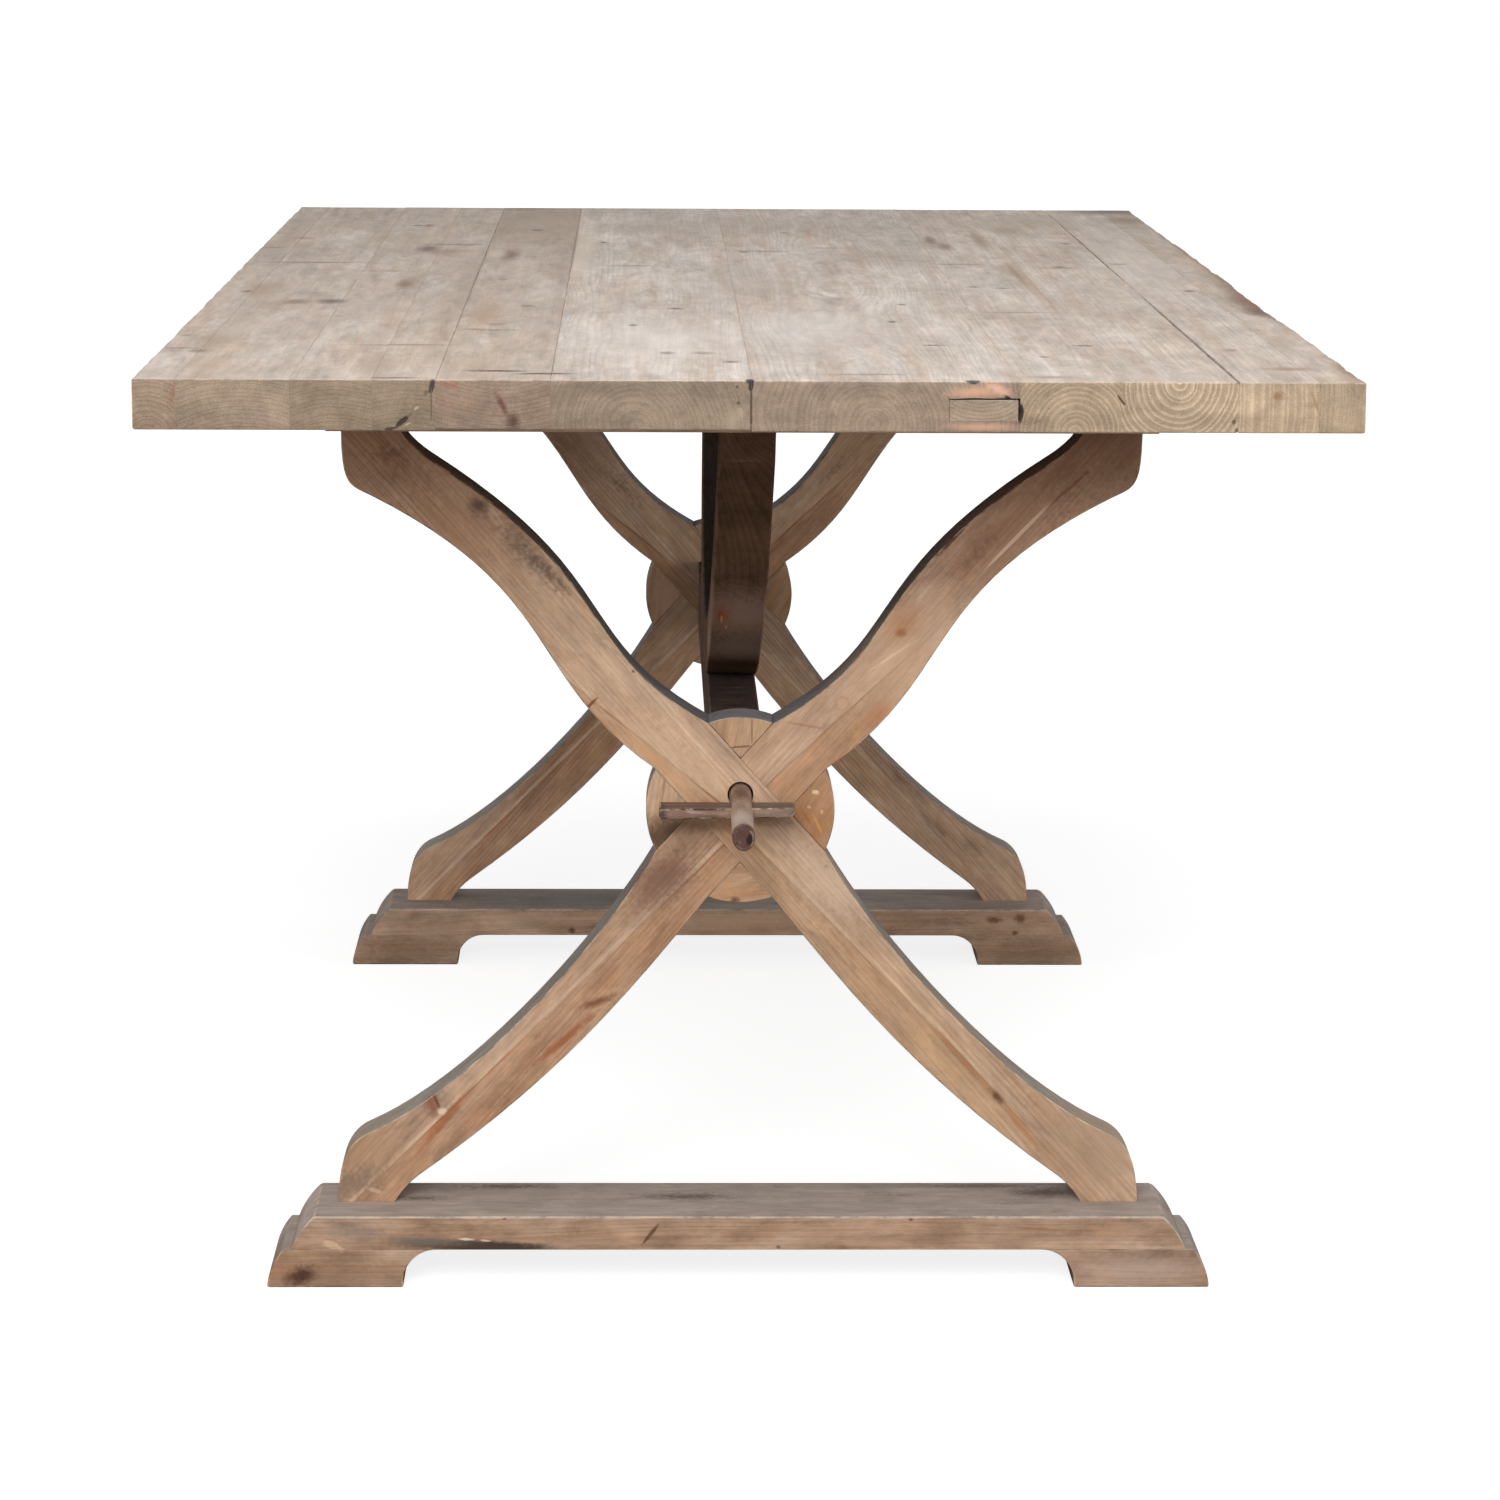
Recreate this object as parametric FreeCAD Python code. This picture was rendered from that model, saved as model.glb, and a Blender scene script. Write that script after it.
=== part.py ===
"""Sawbuck table in reclaimed pine: a plank top on two curved X trestles, joined by a stretcher with
two curved braces. Each end of the stretcher runs out through its trestle as a round peg, and a
loose wedge through the peg keeps the trestle on. Millimetres, +Z up, +Y along the table, and the
origin on the ground under the middle of the top."""

import FreeCAD
import Part
import math
import os

os.makedirs("parts", exist_ok=True)
Vector = FreeCAD.Vector
UP = Vector(0, 0, 1)

# Top: planks of random width glued edge to edge, from -X to +X
table_height = 768.0
table_length = 1829.0
top_thickness = 38.0
board_widths = (32.0, 84.0, 61.0, 47.0, 85.0, 149.0, 199.0, 75.0, 87.0, 60.0, 35.0)
board_edge_chamfer = 0.8
patch_right = 198.5        # +X side of the block that fills an old mortise in the near end
patch_width = 51.0
patch_height = 16.0
patch_depth = 40.0
patch_below_top = 14.0

# Trestles
end_overhang = 315.5       # from an end of the top to the middle of its trestle
leg_thickness = 45.0
hub_height = 388.0
hub_diameter = 153.0
hub_recess = 1.0           # how far the hub's faces lie behind the legs' faces
lap_angle = 48.0           # slope of both legs where they cross
lap_width = 56.7
leg_top_reach = 321.0      # from the middle to the upright outer face of a leg's top end
leg_foot_reach = 328.5
top_seat_width = 47.0      # where a leg's end bears on the rail or the foot
foot_seat_width = 46.0

# Knees, where a leg's long edges turn towards its end: how far in from the leg's outermost
# point, and how far short of the rail or the foot
upper_inner_knee = (71.0, 24.0)
upper_outer_knee = (25.0, 54.7)
lower_inner_knee = (66.5, 22.6)
lower_outer_knee = (25.0, 58.2)

# Curves of those edges, from the hub to the knee (edge) and on to the end (flare or shoulder):
# slope and pull at the start, then slope and pull at the finish. A slope is in degrees from
# level, and a pull is a share of the straight distance.
upper_inner_edge = (29.4, 0.42, 32.7, 0.61)
upper_inner_flare = (32.7, 0.32, 62.0, 0.32)
upper_outer_edge = (34.5, 0.41, 27.0, 0.55)
upper_outer_shoulder = (27.0, 0.35, 90.0, 0.80)
lower_inner_edge = (52.2, 0.36, 35.7, 0.38)
lower_inner_flare = (35.7, 0.33, 58.0, 0.33)
lower_outer_edge = (60.3, 0.26, 24.0, 0.28)
lower_outer_shoulder = (24.0, 0.28, 90.0, 0.54)

# Tenons on the ends of the legs
tenon_width = 25.0
tenon_thickness = 15.0
tenon_length = 18.0

# Rails under the top
rail_thickness = 32.0
rail_depth = 84.0
rail_half_length = 346.0
rail_end_slope = 14.0      # how far the rail's ends draw in towards their underside

# Feet
beam_thickness = 28.0
beam_depth = 106.0
beam_front_margin = 45.0   # from the -Y face of the foot to the -Y face of the legs
beam_top_half_length = 346.0
beam_bottom_half_length = 365.0
beam_end_bulge = 2.0
pad_height = 32.0
pad_ledge = 6.0            # how far a pad stands out past the end of the beam above it
pad_bottom_half_length = 384.5
pad_end_bulge = 3.0
pad_length = 111.0         # along the ground
cove_radius = 27.0

# Stretcher and braces
stretcher_width = 43.0
stretcher_height = 70.0
brace_width = 46.0
brace_depth = 50.0
brace_radius = 725.0       # of the underside
brace_foot_reach = 150.0   # from the middle to where the underside leaves the stretcher
brace_end_drop = 33.0      # how far the end of the underside is below the rail
brace_lean = 1.25          # degrees, to the +X side

# Pegs and wedges
peg_diameter = 18.0
peg_hole_diameter = 21.0
peg_above_hub = 13.0       # height of the hole over the hub's centre
peg_sag = 1.0              # the peg lies this much below the hole's centre at the outer face
peg_droop = 2.8            # degrees, down towards its free end
peg_reach = 150.0          # beyond the outer face of the legs
peg_socket_depth = 70.0
peg_end_chamfer = 1.5
wedge_standoff = 26.0      # from the legs' outer face to the wedge
wedge_below_axis = 2.4
wedge_thickness = 8.6
wedge_depth_thick = 31.0
wedge_depth_thin = 24.0
wedge_thick_reach = 66.0   # from the peg's axis to the wide end
wedge_thin_reach = 43.0
wedge_clearance = 0.3
wedge_nose_radius = 6.0    # under the thin end

# Fasteners
screw_diameter = 5.0
screw_head_diameter = 10.0
screw_head_height = 3.0
rail_screw_length = 50.0
rail_screw_offset = 34.0   # to either side of the rail's middle, in turn
rail_screw_board_width = 55.0    # planks wider than this are screwed to the rails
rail_screw_end_margin = 24.0
brace_screw_bite = 28.0    # length of a brace screw in the stretcher
brace_screw_grip = 30.0    # length of a brace screw in the brace
brace_screw_places = (50.0, 110.0)
dowel_diameter = 10.0
dowel_length = 40.0
dowel_places = (40.0, 90.0)      # from the pad's end at the ground

# Worked out
table_width = sum(board_widths)
trestle_spacing = table_length - 2 * end_overhang
top_underside = table_height - top_thickness
rail_underside = top_underside - rail_thickness
foot_top = pad_height + beam_thickness
trestle_y = {"near": -trestle_spacing / 2, "far": trestle_spacing / 2}
outward = {"near": -1, "far": 1}
rail_inner_y = trestle_spacing / 2 - rail_depth / 2
stretcher_top = hub_height + stretcher_height / 2
leg_inner_y = trestle_spacing / 2 - leg_thickness / 2
leg_outer_y = trestle_spacing / 2 + leg_thickness / 2


def save(shape, name):
    shape.exportStep("parts/" + name + ".step")


def box(x_low, x_high, y_low, y_high, z_low, z_high):
    return Part.makeBox(x_high - x_low, y_high - y_low, z_high - z_low, Vector(x_low, y_low, z_low))


def upright_cylinder(x, y, z_low, z_high, diameter):
    return Part.makeCylinder(diameter / 2, z_high - z_low, Vector(x, y, z_low), UP)


def line(start, end):
    return Part.LineSegment(start, end).toShape()


def bulged_edge(start, end, bulge):
    """An arc from start to end that stands out by bulge, to the left as one goes along it."""
    along = end - start
    across = Vector(-along.z, 0, along.x)
    across.normalize()
    middle = (start + end) * 0.5 + across * bulge
    return Part.Arc(start, middle, end).toShape()


def extrude(edges, y_low, y_high):
    """The solid between y_low and y_high of an outline drawn in the XZ plane at y = 0."""
    face = Part.Face(Part.Wire(edges))
    solid = face.extrude(Vector(0, y_high - y_low, 0))
    solid.translate(Vector(0, y_low, 0))
    return solid


def mirrored(shape):
    return shape.mirror(Vector(0, 0, 0), Vector(1, 0, 0))


# The top

def board_seams():
    seams = [-table_width / 2]
    for width in board_widths:
        seams.append(seams[-1] + width)
    return seams


def top_board(index):
    seams = board_seams()
    half_length = table_length / 2
    board = box(seams[index], seams[index + 1], -half_length, half_length, top_underside, table_height)
    long_edges = [edge for edge in board.Edges if edge.Length > half_length]
    return board.makeChamfer(board_edge_chamfer, long_edges)


def end_patch():
    near_end = -table_length / 2
    top = table_height - patch_below_top
    left = patch_right - patch_width
    return box(left, patch_right, near_end, near_end + patch_depth, top - patch_height, top)


# Trestles, drawn for the leg that rises towards +X, about the hub's centre at y = 0

def edge_curve(start, end, edge_form):
    start_slope, start_pull, end_slope, end_pull = edge_form
    span = start.distanceToPoint(end)
    start_angle = math.radians(start_slope)
    end_angle = math.radians(end_slope)
    first = start + Vector(math.cos(start_angle), 0, math.sin(start_angle)) * (start_pull * span)
    second = end - Vector(math.cos(end_angle), 0, math.sin(end_angle)) * (end_pull * span)
    curve = Part.BezierCurve()
    curve.setPoles([start, first, second, end])
    return curve.toShape()


def turned_over(shape):
    """Turns a shape half a turn about the hub's axis, which makes a lower edge of an upper one."""
    turned = shape.copy()
    turned.rotate(Vector(0, 0, 0), Vector(0, 1, 0), 180)
    return turned


def rim_points():
    """Where the leg's inner and outer edges meet the hub's rim."""
    angle = math.radians(lap_angle)
    along = Vector(math.cos(angle), 0, math.sin(angle))
    across = Vector(-math.sin(angle), 0, math.cos(angle))
    half_chord = math.sqrt((hub_diameter / 2) ** 2 - (lap_width / 2) ** 2)
    inner = along * half_chord + across * (lap_width / 2)
    outer = along * half_chord - across * (lap_width / 2)
    return inner, outer


def leg_half(reach, rise, seat_width, inner_knee, outer_knee, inner_forms, outer_forms):
    """The edges of half a leg, from the rim along the inner edge, round the end and back."""
    inner_rim, outer_rim = rim_points()
    seat_start = Vector(reach - seat_width, 0, rise)
    seat_end = Vector(reach, 0, rise)
    inner_turn = seat_end - Vector(inner_knee[0], 0, inner_knee[1])
    outer_turn = seat_end - Vector(outer_knee[0], 0, outer_knee[1])
    return [
        edge_curve(inner_rim, inner_turn, inner_forms[0]),
        edge_curve(inner_turn, seat_start, inner_forms[1]),
        line(seat_start, seat_end),
        edge_curve(outer_turn, seat_end, outer_forms[1]),
        edge_curve(outer_rim, outer_turn, outer_forms[0]),
    ]


def leg_blank():
    """A whole leg before its lap, hole and tenons, centred on the hub."""
    upper = leg_half(
        leg_top_reach,
        rail_underside - hub_height,
        top_seat_width,
        upper_inner_knee,
        upper_outer_knee,
        (upper_inner_edge, upper_inner_flare),
        (upper_outer_edge, upper_outer_shoulder),
    )
    lower = leg_half(
        leg_foot_reach,
        hub_height - foot_top,
        foot_seat_width,
        lower_inner_knee,
        lower_outer_knee,
        (lower_inner_edge, lower_inner_flare),
        (lower_outer_edge, lower_outer_shoulder),
    )
    inner_rim, outer_rim = rim_points()
    across_hub = [line(outer_rim, inner_rim * -1), line(outer_rim * -1, inner_rim)]
    edges = upper + [turned_over(edge) for edge in lower] + across_hub
    return extrude(Part.__sortEdges__(edges), -leg_thickness / 2, leg_thickness / 2)


def leg_tenon(seat_middle, z_low, z_high):
    half_width = tenon_width / 2
    half_thickness = tenon_thickness / 2
    x_low = seat_middle - half_width
    x_high = seat_middle + half_width
    return box(x_low, x_high, -half_thickness, half_thickness, z_low, z_high)


def leg_tenons():
    """The tenons of the leg that rises towards +X, at their height over the hub's centre."""
    rail_z = rail_underside - hub_height
    foot_z = foot_top - hub_height
    upper = leg_tenon(leg_top_reach - top_seat_width / 2, rail_z, rail_z + tenon_length)
    lower = leg_tenon(foot_seat_width / 2 - leg_foot_reach, foot_z - tenon_length, foot_z)
    return [upper, lower]


def peg_hole():
    start = Vector(0, -leg_thickness, peg_above_hub)
    return Part.makeCylinder(peg_hole_diameter / 2, 2 * leg_thickness, start, Vector(0, 1, 0))


def trestle_legs():
    """The through leg, which falls towards +X with its whole face to -Y, and the leg behind it."""
    rising = leg_blank()
    falling = mirrored(rising)
    crossing = rising.common(falling)
    side = hub_diameter
    front_half = crossing.common(box(-side, side, -leg_thickness, 0, -side, side))
    back_half = crossing.common(box(-side, side, 0, leg_thickness, -side, side))
    tenons = leg_tenons()
    through_leg = falling.cut(back_half).cut(peg_hole())
    lapped_leg = rising.cut(front_half).cut(peg_hole())
    for tenon in tenons:
        through_leg = through_leg.fuse(mirrored(tenon))
        lapped_leg = lapped_leg.fuse(tenon)
    return through_leg.removeSplitter(), lapped_leg.removeSplitter()


def hub_blocks():
    """The four blocks that fill the hub's circle between the legs, by the side that they are on."""
    rising = leg_blank()
    half_depth = leg_thickness / 2 - hub_recess
    disc = Part.makeCylinder(hub_diameter / 2, 2 * half_depth, Vector(0, -half_depth, 0), Vector(0, 1, 0))
    pieces = disc.cut(rising.fuse(mirrored(rising))).Solids
    blocks = {}
    for piece in pieces:
        centre = piece.CenterOfMass
        if abs(centre.x) > abs(centre.z):
            side = "right" if centre.x > 0 else "left"
        else:
            side = "top" if centre.z > 0 else "bottom"
        blocks[side] = piece
    return blocks


def placed(shape, place):
    """Puts a shape drawn about the hub's centre onto the near or the far trestle."""
    moved = shape.copy()
    moved.translate(Vector(0, trestle_y[place], hub_height))
    return moved


def foot_y_range(place):
    front = trestle_y[place] - leg_thickness / 2 - beam_front_margin
    return front, front + beam_depth


def dowels(place):
    front, back = foot_y_range(place)
    y = (front + back) / 2
    low = pad_height - dowel_length / 2
    high = pad_height + dowel_length / 2
    solids = []
    for side in (-1, 1):
        for along in dowel_places:
            x = side * (pad_bottom_half_length - along)
            solids.append(upright_cylinder(x, y, low, high, dowel_diameter))
    return solids


def foot_beam(place):
    low, high = foot_y_range(place)
    top_left = Vector(-beam_top_half_length, 0, foot_top)
    top_right = Vector(beam_top_half_length, 0, foot_top)
    bottom_right = Vector(beam_bottom_half_length, 0, pad_height)
    bottom_left = Vector(-beam_bottom_half_length, 0, pad_height)
    beam = extrude(
        [
            line(top_left, top_right),
            bulged_edge(top_right, bottom_right, beam_end_bulge),
            line(bottom_right, bottom_left),
            bulged_edge(bottom_left, top_left, beam_end_bulge),
        ],
        low,
        high,
    )
    tenon = placed(leg_tenons()[1], place)
    return beam.cut([tenon, mirrored(tenon)] + dowels(place))


def foot_pad(place, side):
    """A pad under the end of the beam: a rounded outer end and a cove at its inner end."""
    low, high = foot_y_range(place)
    outer_top = Vector(beam_bottom_half_length + pad_ledge, 0, pad_height)
    outer_bottom = Vector(pad_bottom_half_length, 0, 0)
    inner_x = pad_bottom_half_length - pad_length
    cove_foot = Vector(inner_x, 0, pad_height - cove_radius)
    cove_top = Vector(inner_x - cove_radius, 0, pad_height)
    cove_middle = Vector(
        inner_x - cove_radius + cove_radius * math.cos(math.pi / 4),
        0,
        pad_height - cove_radius + cove_radius * math.sin(math.pi / 4),
    )
    inner_bottom = Vector(inner_x, 0, 0)
    pad = extrude(
        [
            bulged_edge(outer_top, outer_bottom, pad_end_bulge),
            line(outer_bottom, inner_bottom),
            line(inner_bottom, cove_foot),
            Part.Arc(cove_foot, cove_middle, cove_top).toShape(),
            line(cove_top, outer_top),
        ],
        low,
        high,
    )
    if side < 0:
        pad = mirrored(pad)
    return pad.cut(dowels(place))


def rail_screw_spots():
    """Where the screws of one rail go: under the middle of each wide plank over the rail."""
    seams = board_seams()
    limit = rail_half_length - rail_end_slope - rail_screw_end_margin
    spots = []
    for left, right in zip(seams, seams[1:]):
        middle = (left + right) / 2
        if right - left > rail_screw_board_width and abs(middle) < limit:
            offset = rail_screw_offset if len(spots) % 2 else -rail_screw_offset
            spots.append((middle, offset))
    return spots


def rail_screws(place):
    screws = []
    for x, offset in rail_screw_spots():
        y = trestle_y[place] + offset
        head = Part.makeCone(
            screw_head_diameter / 2, screw_diameter / 2, screw_head_height, Vector(x, y, rail_underside), UP
        )
        shank = upright_cylinder(x, y, rail_underside, rail_underside + rail_screw_length, screw_diameter)
        screws.append(head.fuse(shank).removeSplitter())
    return screws


def top_rail(place):
    y_low = trestle_y[place] - rail_depth / 2
    y_high = trestle_y[place] + rail_depth / 2
    bottom_half_length = rail_half_length - rail_end_slope
    corners = [
        Vector(-rail_half_length, 0, top_underside),
        Vector(rail_half_length, 0, top_underside),
        Vector(bottom_half_length, 0, rail_underside),
        Vector(-bottom_half_length, 0, rail_underside),
    ]
    edges = [line(corners[i], corners[(i + 1) % 4]) for i in range(4)]
    tenon = placed(leg_tenons()[0], place)
    return extrude(edges, y_low, y_high).cut([tenon, mirrored(tenon)] + rail_screws(place))


# Stretcher, braces, pegs and wedges, drawn at the far end and mirrored for the near one

def far_or_near(shape, place):
    if place == "far":
        return shape
    return shape.mirror(Vector(0, 0, 0), Vector(0, 1, 0))


def peg_axis():
    """A point of the peg's axis in the legs' outer face, and its direction outwards."""
    droop = math.radians(peg_droop)
    start = Vector(0, leg_outer_y, hub_height + peg_above_hub - peg_sag)
    return start, Vector(0, math.cos(droop), -math.sin(droop))


def peg_rod():
    start, direction = peg_axis()
    depth = leg_thickness + peg_socket_depth
    rod = Part.makeCylinder(peg_diameter / 2, depth + peg_reach, start - direction * depth, direction)
    free_rim = max(rod.Edges, key=lambda edge: edge.CenterOfMass.y)
    return rod.makeChamfer(peg_end_chamfer, [free_rim])


def wedge_height():
    start, direction = peg_axis()
    middle = wedge_standoff + wedge_depth_thick / 2
    return start.z + direction.z / direction.y * middle - wedge_below_axis


def wedge_outline(margin):
    """The wedge's corners in plan, from its back at the wide end, grown by margin in Y."""
    back = leg_outer_y + wedge_standoff
    return [
        Vector(wedge_thick_reach, back - margin, 0),
        Vector(-wedge_thin_reach, back - margin, 0),
        Vector(-wedge_thin_reach, back + wedge_depth_thin + margin, 0),
        Vector(wedge_thick_reach, back + wedge_depth_thick + margin, 0),
    ]


def wedge(place):
    outline = wedge_outline(0)
    face = Part.Face(Part.makePolygon(outline + outline[:1]))
    solid = face.extrude(UP * wedge_thickness)
    nose = min(solid.Edges, key=lambda edge: edge.CenterOfMass.x + edge.CenterOfMass.z)
    solid = solid.makeFillet(wedge_nose_radius, [nose])
    solid.translate(UP * (wedge_height() - wedge_thickness / 2))
    if place == "near":
        solid.rotate(Vector(0, 0, 0), UP, 180)
    return solid


def wedge_slot():
    """The slot cut along X through the peg, as deep as the wedge is where it enters."""
    back = leg_outer_y + wedge_standoff
    along = (wedge_thick_reach - peg_diameter / 2) / (wedge_thick_reach + wedge_thin_reach)
    depth = wedge_depth_thick + (wedge_depth_thin - wedge_depth_thick) * along
    half_height = wedge_thickness / 2 + wedge_clearance
    middle = wedge_height()
    return box(
        -peg_diameter,
        peg_diameter,
        back - wedge_clearance,
        back + depth + wedge_clearance,
        middle - half_height,
        middle + half_height,
    )


def peg(place):
    return far_or_near(peg_rod().cut(wedge_slot()), place)


def stretcher():
    half_width = stretcher_width / 2
    underside = stretcher_top - stretcher_height
    beam = box(-half_width, half_width, -leg_inner_y, leg_inner_y, underside, stretcher_top)
    sockets = [far_or_near(peg_rod(), place) for place in ("near", "far")]
    return beam.cut(sockets + brace_screws("near") + brace_screws("far"))


def brace_arc_centre():
    """Centre in YZ of the underside's arc, from the stretcher's top to the rail's inner face."""
    foot = Vector(0, brace_foot_reach, stretcher_top)
    end = Vector(0, rail_inner_y, rail_underside - brace_end_drop)
    chord = end - foot
    across = Vector(0, -chord.z, chord.y)
    across.normalize()
    return (foot + end) * 0.5 + across * math.sqrt(brace_radius ** 2 - (chord.Length / 2) ** 2)


def brace_screws(place):
    screws = []
    for along in brace_screw_places:
        low = stretcher_top - brace_screw_bite
        high = stretcher_top + brace_screw_grip
        shank = upright_cylinder(0, along, low, high, screw_diameter)
        head = upright_cylinder(0, along, high - screw_head_height, high, screw_head_diameter)
        screws.append(far_or_near(shank.fuse(head).removeSplitter(), place))
    return screws


def brace(place):
    half_width = brace_width / 2
    centre = brace_arc_centre()
    start = Vector(-half_width, centre.y, centre.z)
    outer = Part.makeCylinder(brace_radius, brace_width, start, Vector(1, 0, 0))
    inner = Part.makeCylinder(brace_radius - brace_depth, brace_width, start, Vector(1, 0, 0))
    below = stretcher_top - brace_width
    above = top_underside + brace_width
    arm = outer.cut(inner).common(box(-half_width, half_width, 0, rail_inner_y, below, above))
    arm.rotate(Vector(0, 0, stretcher_top), Vector(0, 1, 0), brace_lean)
    room = box(-brace_width, brace_width, 0, rail_inner_y, stretcher_top, top_underside)
    arm = far_or_near(arm.common(room), place)
    bores = []
    for along in brace_screw_places:
        low = stretcher_top + brace_screw_grip
        bore = upright_cylinder(0, along, low, low + brace_depth, screw_head_diameter)
        bores.append(far_or_near(bore, place))
    return arm.cut(bores + brace_screws(place))


# Everything, one file per node

def build():
    patch = end_patch()
    all_rail_screws = rail_screws("near") + rail_screws("far")
    for index in range(len(board_widths)):
        board = top_board(index).cut([patch] + all_rail_screws)
        save(board, "top_board_" + str(index + 1))
    save(patch, "end_patch")
    save(Part.makeCompound(all_rail_screws), "rail_screws")
    through_leg, lapped_leg = trestle_legs()
    blocks = hub_blocks()
    for place in ("near", "far"):
        save(placed(through_leg, place), place + "_through_leg")
        save(placed(lapped_leg, place), place + "_lapped_leg")
        for side, block in blocks.items():
            save(placed(block, place), place + "_hub_block_" + side)
        save(foot_beam(place), place + "_foot_beam")
        save(foot_pad(place, -1), place + "_foot_pad_left")
        save(foot_pad(place, 1), place + "_foot_pad_right")
        save(top_rail(place), place + "_top_rail")
        save(brace(place), place + "_brace")
        save(peg(place), place + "_peg")
        save(wedge(place), place + "_wedge")
    save(Part.makeCompound(dowels("near") + dowels("far")), "pad_dowels")
    save(stretcher(), "stretcher")
    save(Part.makeCompound(brace_screws("near") + brace_screws("far")), "brace_screws")


build()
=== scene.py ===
import math
from functools import partial

import bmesh
import bpy
import numpy as np
from mathutils import Matrix, Vector


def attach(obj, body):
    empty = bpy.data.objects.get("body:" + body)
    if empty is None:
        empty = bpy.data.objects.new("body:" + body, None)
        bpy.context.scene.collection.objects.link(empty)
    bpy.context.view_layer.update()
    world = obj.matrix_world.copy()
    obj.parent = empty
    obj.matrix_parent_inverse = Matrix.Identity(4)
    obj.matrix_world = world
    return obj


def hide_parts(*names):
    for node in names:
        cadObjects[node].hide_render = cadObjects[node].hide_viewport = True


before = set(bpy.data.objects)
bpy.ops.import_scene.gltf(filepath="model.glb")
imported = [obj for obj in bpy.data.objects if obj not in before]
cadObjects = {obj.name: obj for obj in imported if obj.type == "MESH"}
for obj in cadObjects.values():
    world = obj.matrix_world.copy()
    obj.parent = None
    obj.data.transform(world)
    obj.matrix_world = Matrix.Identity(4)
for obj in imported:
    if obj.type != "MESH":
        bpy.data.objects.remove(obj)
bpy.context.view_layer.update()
mm = 0.001
smoothStep = {"interpolation_type": "SMOOTHSTEP"}
ofColours = {"data_type": "RGBA"}


# Helpers

def linearColour(hexText):
    # sRGB hex to the linear values that Blender works in
    channels = [int(hexText[i:i + 2], 16) / 255 for i in (1, 3, 5)]
    return [c / 12.92 if c <= 0.04045 else ((c + 0.055) / 1.055) ** 2.4 for c in channels] + [1.0]


def addNode(tree, kind, settings=None, links=None, output=0):
    # adds one node, sets it up, links or fills its sockets, and gives back one of its outputs;
    # settings that are only a word name the node's operation
    node = tree.nodes.new("ShaderNode" + kind)
    if isinstance(settings, str):
        settings = {"operation": settings}
    for key, value in (settings or {}).items():
        if key == "stops":
            ramp = node.color_ramp
            while len(ramp.elements) > 1:
                ramp.elements.remove(ramp.elements[-1])
            ramp.elements[0].position, ramp.elements[0].color = value[0]
            for position, colour in value[1:]:
                ramp.elements.new(position).color = colour
        else:
            setattr(node, key, value)
    for key, value in (links or {}).items():
        if isinstance(value, bpy.types.NodeSocket):
            tree.links.new(value, node.inputs[key])
        else:
            node.inputs[key].default_value = value
    return node.outputs[output] if node.outputs else None


def emptyTree(owner):
    # the cleared node tree of a new material or world
    owner.use_nodes = True
    owner.node_tree.nodes.clear()
    return owner.node_tree


def waviness(places, spacing, seed):
    # smooth random curve between 0 and 1: random heights every `spacing`, joined by cosine steps
    heights = np.random.default_rng(seed).random(4096)
    t = np.asarray(places) / spacing + 2048.0
    whole = np.floor(t).astype(int)
    blend = 0.5 - 0.5 * np.cos((t - whole) * np.pi)
    return heights[whole % 4096] * (1 - blend) + heights[(whole + 1) % 4096] * blend


def modified(mesh, kind, settings):
    # the mesh as one modifier leaves it
    holder = bpy.data.objects.new("holder", mesh)
    bpy.context.scene.collection.objects.link(holder)
    modifier = holder.modifiers.new(kind, kind)
    for key, value in settings.items():
        setattr(modifier, key, value)
    bpy.context.view_layer.update()
    result = bpy.data.meshes.new_from_object(holder.evaluated_get(bpy.context.evaluated_depsgraph_get()))
    bpy.data.objects.remove(holder)
    return result


def finishPiece(mesh, name, woodFrame, material, body, replaced):
    # the wood attribute is the place of each point along the grain, across it and in depth, from the pith
    coords = np.empty(len(mesh.vertices) * 3)
    mesh.vertices.foreach_get("co", coords)
    fromPith = coords.reshape(-1, 3) - np.array(woodFrame["pith"]) * mm
    grain = np.array(woodFrame["grain"], float)
    grain /= np.linalg.norm(grain)
    depth = np.array(woodFrame["depth"], float)
    depth -= grain * depth.dot(grain)
    depth /= np.linalg.norm(depth)
    wood = fromPith @ np.stack([grain, np.cross(depth, grain), depth]).T
    wood[:, 0] += woodFrame["shift"]
    attribute = mesh.attributes.new("wood", "FLOAT_VECTOR", "POINT")
    attribute.data.foreach_set("vector", wood.astype(np.float32).ravel())
    mesh.materials.clear()
    mesh.materials.append(material)
    piece = bpy.data.objects.new(name, mesh)
    bpy.context.scene.collection.objects.link(piece)
    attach(piece, body)
    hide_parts(*replaced)
    return piece


# Pine, as one ring pattern through the whole piece, so that faces and ends agree

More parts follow.
